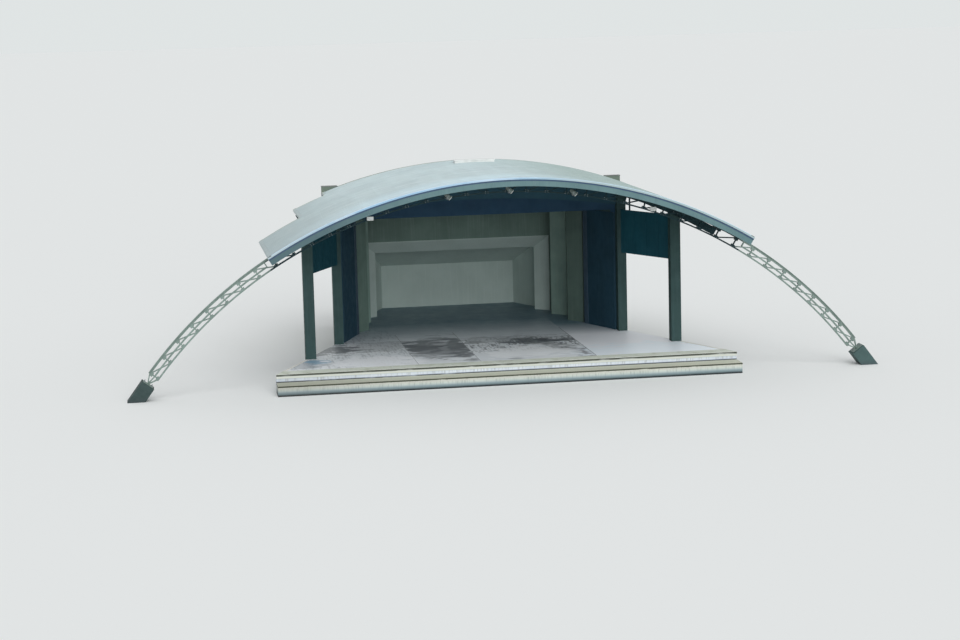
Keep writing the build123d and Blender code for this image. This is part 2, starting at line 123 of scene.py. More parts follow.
class Shader(Nodes):
    """Material while it is put together: the place on each axis, and masks and layers made from it."""

    def __init__(self, name: str) -> None:
        """Starts an empty material.

        Args:
            name: the material's name.
        """
        self.material = bpy.data.materials.new(name)
        super().__init__(self.material)
        self.where = self.add("ShaderNodeTexCoord", output="Object")
        parts = self.add("ShaderNodeSeparateXYZ", {0: self.where}).node.outputs
        self.place = {axis: parts[axis.value] for axis in Axis}

    def band(self, axis: Axis, low: float, high: float, soft: float) -> Socket:
        """Makes a mask that is full between two places on an axis.

        Args:
            axis: the axis that is measured.
            low: where the band starts, in metres.
            high: where it ends.
            soft: how wide each edge fades.

        Returns:
            The mask, from 0 to 1.
        """
        return self.product(*(
            self.add("ShaderNodeMapRange", {
                "Value": self.place[axis], "From Min": start, "From Max": start + run})
            for start, run in ((low, soft), (high, -soft))))

    def product(self, first: Value, *others: Value) -> Socket:
        """Multiplies masks with each other and with shares.

        Args:
            first: the first mask.
            others: masks and numbers that weaken it.

        Returns:
            The mask that is left.
        """
        for other in others:
            first = self.add("ShaderNodeMath", {0: first, 1: other}, operation="MULTIPLY")
        return first

    def over(self, below: Value, mask: Value, colour: str | Socket, share: float = 1.0) -> Socket:
        """Lays a colour over another through a mask.

        Args:
            below: the colour that stays where the mask is empty.
            mask: the mask, from 0 to 1.
            colour: the colour on top, as hex digits or from other nodes.
            share: how strongly it covers.

        Returns:
            The blended colour.
        """
        above = linear(colour) if isinstance(colour, str) else colour
        inputs = {0: self.product(mask, share), MIX_BELOW: below, MIX_ABOVE: above}
        return self.add("ShaderNodeMix", inputs, MIX_RESULT, data_type="RGBA")

    def patches(self, size: float, low: float, high: float, stretch: Point = (1.0, 1.0, 1.0)) -> Socket:
        """Makes a mask of soft-edged patches.

        Args:
            size: width of a patch in mm.
            low: noise value below which the mask is empty.
            high: noise value above which the mask is full.
            stretch: how much longer a patch is along each axis.

        Returns:
            The mask, from 0 to 1.
        """
        scale = tuple(1000 / size / factor for factor in stretch)
        moved = self.add("ShaderNodeMapping", {"Vector": self.where, "Scale": scale})
        noise = self.add("ShaderNodeTexNoise", {"Vector": moved, "Scale": 1.0, "Detail": 5.0}, "Fac")
        return self.add("ShaderNodeMapRange", {"Value": noise, "From Min": low, "From Max": high})


@dataclass(frozen=True)
class Wash:
    """Band of another tone, level on a face or from side to side. Places in metres."""

    low: float
    high: float
    soft: float
    colour: str
    share: float = 1.0
    axis: Axis = Axis.UP
    ragged: bool = False


@dataclass(frozen=True)
class Streaks:
    """Streaks that rain draws down a face. Sizes in mm."""

    colour: str
    share: float = 0.5
    width: float = 90.0
    length: float = 2600.0


@dataclass(frozen=True)
class Finish:
    """Surface with cloudy patches, streaks, a stained foot, washes and fine grain. Sizes in mm."""

    name: str
    colour: str
    patch_colour: str
    roughness: float
    patch_size: float = 1400.0
    patch_share: float = 0.6
    streaks: Streaks | None = None
    grain_size: float = 40.0
    grain_depth: float = 1.5
    metallic: float = 0.0
    specular: float = 0.5
    foot_colour: str = ""
    foot_height: float = 300.0
    foot_edge: Noise = (420.0, 0.3, 0.7, (1.0, 1.0, 1.0))
    washes: tuple[Wash, ...] = ()
    wash_edge: Noise = (260.0, 0.22, 0.45, (4.0, 1.0, 1.0))
    patch_limits: Span = (0.4, 0.62)
    streak_limits: Span = (0.5, 0.72)
    grain_limits: Span = (0.2, 0.8)
    gloss_limits: Span = (0.3, 0.7)
    gloss_change: float = 0.08
    bump: float = 0.6

    def foot(self, shader: Shader) -> Socket:
        """Makes a mask that is full at the water and fades upwards with a ragged edge.

        Args:
            shader: the material in work.

        Returns:
            The mask, from 0 to 1.
        """
        top = self.foot_height / 1000
        level = shader.add("ShaderNodeMath", {
            0: shader.patches(*self.foot_edge), 1: -0.4 * top, 2: shader.place[Axis.UP]},
            operation="MULTIPLY_ADD")
        return shader.add("ShaderNodeMapRange", {"Value": level, "From Min": top, "From Max": -0.2 * top})

    def tone(self, shader: Shader) -> Socket:
        """Lays patches, streaks and the foot's stain over the plain colour.

        Args:
            shader: the material in work.

        Returns:
            The colour of the surface.
        """
        cloud = shader.patches(self.patch_size, *self.patch_limits)
        colour = shader.over(linear(self.colour), cloud, self.patch_colour, self.patch_share)
        if self.streaks:
            stretch = (1.0, 1.0, self.streaks.length / self.streaks.width)
            runs = shader.patches(self.streaks.width, *self.streak_limits, stretch)
            colour = shader.over(colour, runs, self.streaks.colour, self.streaks.share)
        if self.foot_colour:
            colour = shader.over(colour, self.foot(shader), self.foot_colour)
        return colour

    def relief(self, shader: Shader) -> Socket:
        """Makes the height of the surface's fine relief."""
        return shader.patches(self.grain_size, *self.grain_limits)

    def surface(self, shader: Shader) -> Socket:
        """Joins colour, washes, gloss and relief to one surface.

        Args:
            shader: the material in work.

        Returns:
            The surface's shader.
        """
        colour = self.tone(shader)
        for wash in self.washes:
            mask = shader.band(wash.axis, wash.low, wash.high, wash.soft)
            if wash.ragged:
                mask = shader.product(mask, shader.patches(*self.wash_edge))
            colour = shader.over(colour, mask, wash.colour, wash.share)
        rough = shader.add("ShaderNodeMapRange", {
            "Value": shader.patches(self.patch_size / 4, *self.gloss_limits),
            "To Min": self.roughness - self.gloss_change,
            "To Max": min(1.0, self.roughness + self.gloss_change)})
        normal = shader.add("ShaderNodeBump", {
            "Strength": self.bump, "Distance": self.grain_depth / 1000, "Height": self.relief(shader)})
        return shader.add("ShaderNodeBsdfPrincipled", {
            "Base Color": colour, "Roughness": rough, "Normal": normal, "Metallic": self.metallic,
            "Specular IOR Level": self.specular})

    def make(self) -> bpy.types.Material:
        """Puts the material together.

        Returns:
            The finished material.
        """
        shader = Shader(self.name)
        shader.add("ShaderNodeOutputMaterial", {"Surface": self.surface(shader)})
        return shader.material


@dataclass(frozen=True)
class StainAndGlare:
    """Oval deck patch with a ragged edge, stained or pale with painted glare. Metres across, behind the
    front, and half sizes.
    """

    across: float
    behind: float
    half_across: float
    half_deep: float
    share: float
    colour: str = "#4C5056"
    turn: float = 0.0


@dataclass(frozen=True)
class DeckFinish(Finish):
    """Concrete floor cast in bays: damp and stained patches, scratches, painted glare and sheen, painted
    shade in the house.
    """

    front: float = -11.395
    height: float = 0.95
    bay_edge: float = 0.03
    # The bay right of the joint is made pale with painted sheen
    pale_bay_sheen: Tint = ("#F8FAFF", 0.9)
    pale_from: float = 4.75
    pale_edge: float = 0.02
    pale_behind: float = 9.6
    pale_run: float = 4.6
    scratch: Tint = ("#94969B", 0.55)
    scratches: Noise = (110.0, 0.5, 0.66, (1.0, 7.0, 1.0))
    scratched: Span = (-12.0, -4.6)
    speckle: Tint = ("#5C5E66", 0.8)
    speckles: Noise = (90.0, 0.5, 0.58, (1.3, 6.0, 1.0))
    speckled_spots: Noise = (1100.0, 0.4, 0.52, (1.6, 1.4, 1.0))
    speckled: Span = (-1.35, 4.75)
    speckled_behind: Point = (4.4, 10.2, 1.2)
    frayed: Noise = (420.0, 0.3, 0.7, (2.2, 1.3, 1.0))
    fraying: float = 1.1
    deck_patch_limits: Span = (1.6, 1.3)
    # Painted shade on the floor inside the house
    indoor_shade: str = "#607B8A"
    shade_behind: float = 9.0
    shade_run: float = 7.5
    damp_bay: Span = (-4.6, -1.35)
    damp_stains: tuple[StainAndGlare, ...] = (
        StainAndGlare(-2.9, 7.4, 2.6, 3.9, 0.5, "#6A6E74"), StainAndGlare(-3.6, 8.1, 1.3, 2.2, 0.6),
        StainAndGlare(-1.8, 7.0, 0.8, 4.2, 0.55), StainAndGlare(-2.9, 5.8, 2.3, 2.6, 0.35))
    # Near-white patches are painted glare; the blue one at the left front post is a wet patch with painted
    # sky reflection; the others are dirt and damp
    stains_and_glare: tuple[StainAndGlare, ...] = (
        StainAndGlare(2.4, 8.1, 1.6, 1.4, 0.8), StainAndGlare(3.7, 8.05, 1.4, 0.6, 0.7),
        StainAndGlare(3.5, 5.9, 0.8, 1.7, 0.6, turn=20.0), StainAndGlare(4.74, 3.2, 1.0, 2.8, 0.8, "#625F6A"),
        StainAndGlare(-9.8, 8.2, 2.6, 1.8, 0.75), StainAndGlare(-10.2, 3.8, 1.7, 1.8, 0.55, "#7F8790"),
        StainAndGlare(-0.8, 8.6, 0.5, 0.45, 0.4), StainAndGlare(0.6, 2.5, 0.6, 0.3, 0.4),
        StainAndGlare(10.3, 4.8, 0.25, 1.1, 0.5, turn=24.0), StainAndGlare(9.7, 6.8, 0.25, 0.6, 0.4),
        StainAndGlare(1.8, 9.2, 3.2, 1.3, 0.3), StainAndGlare(-9.6, 4.5, 0.8, 0.8, 0.8, "#7BA2BC"),
        StainAndGlare(-6.2, 8.6, 2.2, 1.8, 0.3), StainAndGlare(-6.6, 3.6, 2.6, 1.8, 0.8, "#FAFCFF"),
        StainAndGlare(8.2, 3.4, 5.0, 2.4, 0.9, "#EFF8FF"), StainAndGlare(1.6, 4.6, 2.6, 2.2, 0.7, "#F6F8FA"))

    def deck_patch(self, shader: Shader, deck_patch: StainAndGlare, ragged: Socket) -> Socket:
        """Makes the mask of one patch, stained or of painted glare.

        Args:
            shader: the material in work.
            deck_patch: its place and size.
            ragged: noise that frays its edge.

        Returns:
            The mask, from 0 to its share.
        """
        centre = (deck_patch.across, self.front + deck_patch.behind, self.height)
        moved = shader.add("ShaderNodeMapping", {
            "Vector": shader.where, "Location": centre, "Rotation": (0.0, 0.0, math.radians(deck_patch.turn)),
            "Scale": (deck_patch.half_across, deck_patch.half_deep, 100.0)}, vector_type="TEXTURE")
        reach = shader.add("ShaderNodeVectorMath", {0: moved}, "Value", operation="LENGTH")
        frayed = shader.add("ShaderNodeMath", {0: ragged, 1: self.fraying, 2: reach},
                            operation="MULTIPLY_ADD")
        outside, inside = self.deck_patch_limits
        return shader.add("ShaderNodeMapRange", {
            "Value": frayed, "From Min": outside, "From Max": inside, "To Max": deck_patch.share})

    def behind(self, shader: Shader, start: float, end: float, soft: float) -> Socket:
        """Makes a band whose ends are given as distances behind the lower step's front."""
        return shader.band(Axis.DEEP, self.front + start, self.front + end, soft)

    def tone(self, shader: Shader) -> Socket:
        """Lays the pale bay with painted sheen, scratches, stained patches, painted glare and painted shade
        in the house over the plain floor.

        Args:
            shader: the material in work.

        Returns:
            The colour of the floor on its top, and of plain concrete on its other faces.
        """
        plain = super().tone(shader)
        pale = shader.band(Axis.ACROSS, self.pale_from, FAR, self.pale_edge)
        others = shader.add("ShaderNodeMath", {0: 1.0, 1: pale}, operation="SUBTRACT")
        # Painted sheen over the pale bay
        colour = shader.over(plain, pale, *self.pale_bay_sheen)
        marks = shader.product(shader.patches(*self.scratches),
                               shader.band(Axis.ACROSS, *self.scratched, self.bay_edge))
        colour = shader.over(colour, marks, *self.scratch)
        dots = shader.product(shader.patches(*self.speckles), shader.patches(*self.speckled_spots),
                              shader.band(Axis.ACROSS, *self.speckled, self.bay_edge),
                              self.behind(shader, *self.speckled_behind))
        colour = shader.over(colour, dots, *self.speckle)
        ragged = shader.patches(*self.frayed)
        damp = shader.band(Axis.ACROSS, *self.damp_bay, self.bay_edge)
        # Stained patches, and patches of painted glare
        for deck_patch in (*self.damp_stains, *self.stains_and_glare):
            mask = self.deck_patch(shader, deck_patch, ragged)
            if deck_patch in self.damp_stains:
                mask = shader.product(mask, damp)
            elif deck_patch.across < self.pale_from:
                mask = shader.product(mask, others)
            colour = shader.over(colour, mask, deck_patch.colour)
        # Painted shade: the floor darkens towards the rear of the house, starting further back in the pale
        # bay
        house = shader.add("ShaderNodeMix", {
            0: pale, 2: self.behind(shader, self.shade_behind, FAR, self.shade_run),
            3: self.behind(shader, self.pale_behind, FAR, self.pale_run)})
        colour = shader.over(colour, house, self.indoor_shade)
        top = shader.add("ShaderNodeMath", {0: shader.place[Axis.UP], 1: self.height - 0.001},
                         operation="GREATER_THAN")
        return shader.over(plain, top, colour)


@dataclass(frozen=True)
class RoofFinish(Finish):
    """Coated sheet that has chalked in streaks round the curve, with moss along its rear edges."""

    moss: Tint = ("#AEB18F", 0.8)
    moss_clumps: Noise = (300.0, 0.3, 0.5, (3.0, 1.0, 1.0))
    rear_edges: tuple[Span, ...] = ((0.0, 1.105), (8.43, -0.395), (10.15, -5.095))
    moss_width: float = 0.34
    moss_fade: float = 0.272
    rinsed: Tint = ("#C6D9E0", 0.7)
    rinsed_front: Point = (-14.0, -9.3, 2.0)
    # The sheet's front face, tinted blue as a painted highlight of the sky
    front_edge: Point = (-14.0, -12.75, 0.002)
    front_face_highlight: Tint = ("#88ACC6", 1.0)
    chalk: Tint = ("#DCE3E6", 0.35)
    chalk_streaks: Noise = (160.0, 0.52, 0.7, (14.0, 1.0, 6.0))
    dirt: Tint = ("#93A2A8", 0.3)
    dirt_streaks: Noise = (210.0, 0.55, 0.72, (9.0, 1.0, 5.0))

    def tone(self, shader: Shader) -> Socket:
        """Lays the rinsed front, a painted highlight on the sheet's front face, streaks round the curve and
        moss over the chalked coat.

        Args:
            shader: the material in work.

        Returns:
            The colour of the sheet.
        """
        colour = super().tone(shader)
        for mask, tint in ((shader.band(Axis.DEEP, *self.rinsed_front), self.rinsed),
                           (shader.band(Axis.DEEP, *self.front_edge), self.front_face_highlight),
                           (shader.patches(*self.chalk_streaks), self.chalk),
                           (shader.patches(*self.dirt_streaks), self.dirt)):
            colour = shader.over(colour, mask, *tint)
        out = shader.add("ShaderNodeMath", {0: shader.place[Axis.ACROSS]}, operation="ABSOLUTE")
        for beyond, rear in self.rear_edges:
            past = shader.add("ShaderNodeMath", {0: out, 1: beyond}, operation="GREATER_THAN")
            strip = shader.band(Axis.DEEP, rear - self.moss_width, FAR, self.moss_fade)
            strip = shader.product(strip, shader.patches(*self.moss_clumps), past)
            colour = shader.over(colour, strip, *self.moss)
        return colour


@dataclass(frozen=True)
class BoardFinish(Finish):
    """Painted boards with open joints. Sizes in mm."""

    board_width: float = 300.0
    joint: float = 12.0

    def relief(self, shader: Shader) -> Socket:
        """Sinks a joint between each two boards into the fine grain.

        Args:
            shader: the material in work.

        Returns:
            The height of the boards' relief.
        """
        place = shader.add("ShaderNodeMath", {0: shader.place[Axis.ACROSS], 1: self.board_width / 1000},
                           operation="PINGPONG")
        groove = shader.add("ShaderNodeMapRange", {"Value": place, "From Max": self.joint / 1000})
        return shader.product(super().relief(shader), groove)


@dataclass(frozen=True)
class LintelFinish(BoardFinish):
    """Painted boards, and cement render where the wall stands above the roof."""

    render: str = "#68756B"
    roof_axis: float = -12.9
    roof_outside: float = 23.57
    rear: float = 1.39

    def tone(self, shader: Shader) -> Socket:
        """Lays the render's colour over the paint outside the roof's curve and on the rear face.

        Args:
            shader: the material in work.

        Returns:
            The colour of the wall.
        """
        height = shader.add("ShaderNodeMath", {0: shader.place[Axis.UP], 1: self.roof_axis},
                            operation="SUBTRACT")
        spot = shader.add("ShaderNodeCombineXYZ", {"X": shader.place[Axis.ACROSS], "Z": height})
        reach = shader.add("ShaderNodeVectorMath", {0: spot}, "Value", operation="LENGTH")
        outside, behind = (shader.add("ShaderNodeMath", {0: place, 1: limit}, operation="GREATER_THAN")
                           for place, limit in ((reach, self.roof_outside),
                                                (shader.place[Axis.DEEP], self.rear)))
        bare = shader.add("ShaderNodeMath", {0: outside, 1: behind}, operation="MAXIMUM")
        return shader.over(super().tone(shader), bare, self.render)


# Finishes of the solids by the record's slots, then those of fine pieces that differ from the solid below
FINISHES: dict[str, Finish] = {
    # Cast concrete, rubbed and stained: pale green grey, then blue grey, and near black at the water as a
    # waterline stain deepened with painted shadow
    "step_beige": Finish(
        "weathered_concrete_step_with_painted_shade", "#D3D7CA", "#C3C7B9", 0.85, streaks=Streaks("#716E62", 0.6, 60.0, 700.0),
        # Painted shadow below the nosing, then a dark line of painted nosing shadow along the step's top
        # edge
        washes=(Wash(0.34, 0.46, 0.04, "#C2C3BC", 0.8, ragged=True),
                Wash(0.455, 0.54, 0.012, "#3A3C30", 0.95, ragged=True),
                Wash(0.5385, 0.6, 0.001, "#C8CAB8", 0.9), Wash(-0.1, 0.4, 0.2, "#7F939B", 0.85),
                # Near black at the water: waterline stain deepened with painted shadow
                Wash(-0.1, 0.24, 0.14, "#526468", 0.8), Wash(-0.1, 0.12, 0.075, "#10191C"),
                # Painted shade towards the left end
                Wash(-FAR, -5.0, 6.0, "#3F3D38", 0.27, Axis.ACROSS))),
    # Cement wash on concrete: chalky blue white with brown drips, with dirt and painted shade where it meets
    # the step
    "riser_cream": Finish(
        "cement_washed_riser", "#D0D8E0", "#BEC8D2", 0.85, streaks=Streaks("#7F7E76", 0.5, 90.0, 700.0),
        foot_colour="#4A504C",
        # Blue grey and dark bands at the riser's foot: dirt and painted shade where it meets the step
        washes=(Wash(0.5, 0.63, 0.04, "#97A1B4", 0.9, ragged=True),
                Wash(0.5, 0.595, 0.02, "#3B4043", ragged=True),
                # Painted shade towards the left end
                Wash(-FAR, -5.0, 5.0, "#4A443A", 0.13, Axis.ACROSS))),
    # Steel-trowelled concrete: smooth pale grey with damp stains, its front edge limed below a dark line of
    # painted nosing shadow
    "deck_floor": DeckFinish(
        "trowelled_concrete_deck", "#E8ECEF", "#D6DBE0", 0.45, patch_size=2600.0,
        washes=(Wash(0.7, 0.9, 0.03, "#C3C7BE", 0.95),
                # Dark line of painted nosing shadow along the deck's top edge
                Wash(0.85, 0.949, 0.012, "#383D34", 0.95, ragged=True))),
    # Smooth paint on concrete: flat dark grey green, slightly worn
    "post_paint": Finish(
        "painted_concrete_post", "#2F4645", "#283D3D", 0.65, streaks=Streaks("#41585A", 0.3), specular=0.2),
    # Brushed alkyd paint on steel: low gloss grey green
    "lattice_paint": Finish(
        "painted_steel_lattice", "#6D8079", "#54665F", 0.45, patch_size=500.0,
        streaks=Streaks("#94A29A", 0.3), grain_size=25.0, grain_depth=0.6),
    # Matt paint on plywood: blackened teal
    "border_teal": BoardFinish(
        "painted_board_border", "#274B59", "#20404D", 0.65, streaks=Streaks("#2B4251", 0.4), specular=0.2),
    # Matt paint on plywood: bottle green, with painted shade on the left
    "screen_green": BoardFinish(
        "painted_board_screen", "#164B58", "#113F4B", 0.6, streaks=Streaks("#275863", 0.35), specular=0.2,
        # Painted shade on the left
        washes=(Wash(-FAR, 0.0, 1.0, "#0A242A", 0.3, Axis.ACROSS),)),
    # Coil-coated steel, chalked by the weather: pale blue grey, half matt, with painted shade towards its
    # low ends
    "roof_metal": RoofFinish(
        "coated_roof_sheet", "#BBCACC", "#AFBEC1", 0.5, patch_size=2400.0,
        # Painted shade towards both ends of the roof
        washes=(Wash(-FAR, -7.4, 4.2, "#A0AEB0", 0.8, Axis.ACROSS),
                Wash(-0.5, FAR, 5.0, "#95A5A1", 0.8, Axis.ACROSS))),
    # Brushed paint on folded sheet: grey green, satin, with painted shade towards its left end
    "fascia_paint": Finish(
        "painted_fascia_sheet", "#5A777A", "#4F6C70", 0.5, streaks=Streaks("#48656A", 0.35, length=500.0),
        # Painted shade towards the left end
        specular=0.3, washes=(Wash(-FAR, -4.5, 5.0, "#425A60", 0.85, Axis.ACROSS),)),
    # Cast concrete in the water: blue grey, darker where it is wet, and darkened on the left footing as
    # painted shade
    "footing_concrete": Finish(
        "damp_and_shaded_footing_concrete", "#3E5655", "#344A49", 0.8, patch_size=500.0, foot_colour="#3A494C",
        # Painted shade on the left footing
        foot_height=250.0, washes=(Wash(-FAR, 0.0, 1.0, "#141C1B", 0.5, Axis.ACROSS),)),
    # Cement render: matt grey green with rain marks
    "house_render": Finish(
        "cement_render_wall", "#6C776E", "#5F6A61", 0.88, streaks=Streaks("#4F5A52", 0.5, 160.0, 3800.0),
        grain_size=22.0, foot_colour="#4A534D", foot_height=700.0),
    # Mineral felt: grey and gritty
    "house_roofing": Finish(
        "mineral_roofing_felt", "#777B79", "#686C6B", 0.92, grain_size=15.0, grain_depth=2.5),
    # Matt paint on board: near-black navy
    "flat_navy": BoardFinish(
        "painted_board_flat", "#234151", "#1D3846", 0.65, streaks=Streaks("#34505F", 0.4), specular=0.2),
    # The same paint on the lintel's boards, with bare cement render above the roof
    "lintel_navy": LintelFinish(
        "painted_board_lintel", "#27445B", "#223C51", 0.7, streaks=Streaks("#294A5E", 0.3), specular=0.15),
    # Matt paint on board: olive, streaked pale by rain, with painted shade at the right
    "wall_olive": BoardFinish(
        "painted_board_olive", "#657B73", "#566B64", 0.72, streaks=Streaks("#84958E", 0.35, 60.0),
        # Painted shade at the right
        specular=0.25, board_width=400.0, washes=(Wash(5.6, FAR, 0.15, "#2E3A36", 0.32, Axis.ACROSS),)),
    # The same olive, made paler on the rear pair of panels as painted light
    "pale_olive": BoardFinish(
        "lit_painted_board_olive", "#869F96", "#748B83", 0.72, streaks=Streaks("#93A39B", 0.35, 60.0),
        specular=0.25, board_width=400.0),
    # Flat wall paint on plasterboard: pale grey green
    "portal_grey": Finish(
        "painted_plaster_portal", "#AEBFBA", "#A3B4AF", 0.75, streaks=Streaks("#B6C6C1"), grain_depth=0.5),
    # The same wall paint, made lighter as painted light
    "recess_grey": Finish(
        "lit_painted_plaster_recess", "#B4C5BF", "#A9BAB4", 0.75, streaks=Streaks("#BCCBC6"), grain_depth=0.5),
    # The same wall paint on the back wall, a shade darker
    "back_grey": Finish(
        "painted_plaster_back_wall", "#A9BAB5", "#9EAFAA", 0.75, streaks=Streaks("#B2C1BC"),
        grain_depth=0.5),
    # Stove enamel: white, clean and half glossy
    "trim_white": Finish(
        "white_enamel_trim", "#DDE0DE", "#C8CCC9", 0.35, patch_size=300.0, grain_depth=0.2),
    # Concrete arris, dark as painted nosing shadow: the dark line at each step's edge
    "nosing_shadow_edge": Finish("painted_shadow_concrete_arris", "#42463A", "#5A5E4D", 0.9, patch_size=250.0),
    # Concrete edging with a thin coat of moss: pale yellow green
    "edging": Finish(
        "mossy_concrete_edging", "#D6DBD0", "#C4C9BB", 0.8, patch_size=900.0,
        streaks=Streaks("#A3A792", 0.5, 400.0, 400.0)),
    # Concrete strip, near white as a painted highlight of the sunlit slab edge, with rust drips
    "lit_edge_white": Finish(
        "painted_highlight_concrete_strip", "#E6E5DE", "#D2D4D2", 0.85, patch_size=700.0,
        streaks=Streaks("#A5947C", 0.45, 70.0, 500.0), grain_depth=1.0),
    # Bitumen in the floor's joints: black and dull
    "bitumen": Finish("bitumen_joint", "#3A3B3E", "#2E2F32", 0.6, patch_size=200.0),
    # The lattice's paint, kept dark below the roof as painted shade
    "shaded_steel": Finish(
        "painted_shade_steel_lattice", "#1C363C", "#162C31", 0.65, patch_size=500.0, streaks=Streaks("#26363A"),
        grain_depth=0.6, specular=0.2),
    # Folded sheet along the roof's front edge: bright blue white, a painted highlight of the edge catching
    # the sky
    "edge_highlight_flashing": Finish(
        "painted_highlight_edge_flashing", "#B4CBDC", "#A8BFD1", 0.4, patch_size=900.0, grain_depth=0.3),
    # Folded sheet, painted dark blue below the roof sheet: the painted shadow of the gap under its lip
    "gap_shadow_strip": Finish("painted_gap_shadow_strip", "#163C5D", "#14334F", 0.45, patch_size=400.0),
    # Newer coat of the navy paint on cover boards: a shade lighter
    "fresh_navy": Finish("fresh_painted_cover_board", "#35495A", "#2E4151", 0.5),
    # Stove enamel, dulled to grey green as painted shade
    "painted_shade_enamel": Finish(
        "painted_shade_enamel_barrel", "#6F7B77", "#59645F", 0.6, patch_size=120.0, grain_depth=0.3),
    # Hot-dip galvanised bolts: dull grey metal
    "galvanised": Finish(
        "galvanised_steel", "#8C9496", "#787F82", 0.5, patch_size=80.0, metallic=0.8, grain_depth=0.2),
    # Toughened glass before a reflector: dark and glossy
    "lamp_glass": Finish(
        "toughened_lamp_glass", "#30363A", "#262B2E", 0.12, patch_size=300.0, grain_depth=0.05),
}


@cache
def material(finish: str) -> bpy.types.Material:
    """Makes the material of a finish once, for all that wear it."""
    return FINISHES[finish].make()


@dataclass(frozen=True)
class Layout:
    """Lines that the fine pieces share with the solids. Lengths in metres."""

    front: float = -11.395
    stage_height: float = 0.95
    axis_height: float = -12.9
    roof_radius: float = 23.48
    roof_half_width: float = 12.3
    skin: float = 0.08
    purlin_depth: float = 0.185
    rib_depth: float = 0.4
    bay: float = 2.6
    arch_depth: float = 0.605
    arch_behind: float = 0.93
    chord_half: float = 0.055

    def y(self, behind: float) -> float:
        """Gives the place of a line behind the front of the lower step."""
        return self.front + behind

    def round_roof(self, angle: float) -> Matrix:
        """Turns a piece about the roof's axis, from the crown to an angle in degrees."""
        lift = Matrix.Translation((0.0, 0.0, self.axis_height))
        return lift @ Matrix.Rotation(math.radians(angle), 4, "Y") @ lift.inverted()

    def angle_at(self, x: float, radius: float) -> float:
        """Gives the angle from the crown at which a circle reaches a distance from the middle."""
        return math.degrees(math.asin(x / radius))

    def truss_radius(self) -> float:
        """Gives the radius of the purlins' undersides, on which arch and ribs lie."""
        return self.roof_radius - self.purlin_depth

    def truss_top(self) -> float:
        """Gives the height of the purlins' undersides at the crown."""
        return self.axis_height + self.truss_radius()

    def upright(self, start: Span, end: Span, base: float) -> tuple[Matrix, float]:
        """Sets up a panel's own axes: along it, through it and up.

        Args:
            start: its first end, across and behind the front.
            end: its other end.
            base: height of its foot.

        Returns:
            The matrix of these axes, and the panel's length.
        """
        run = Vector(end) - Vector(start)
        place = Matrix.Translation((start[0], self.y(start[1]), base))
        return place @ Matrix.Rotation(math.atan2(run.y, run.x), 4, "Z"), run.length


LINES = Layout()


def around(verts: list[bmesh.types.BMVert], links: str) -> list[Element]:
    """Lists the edges or faces at some vertices, each once and always in the same order."""
    return list(dict.fromkeys(part for vert in verts for part in getattr(vert, links)))


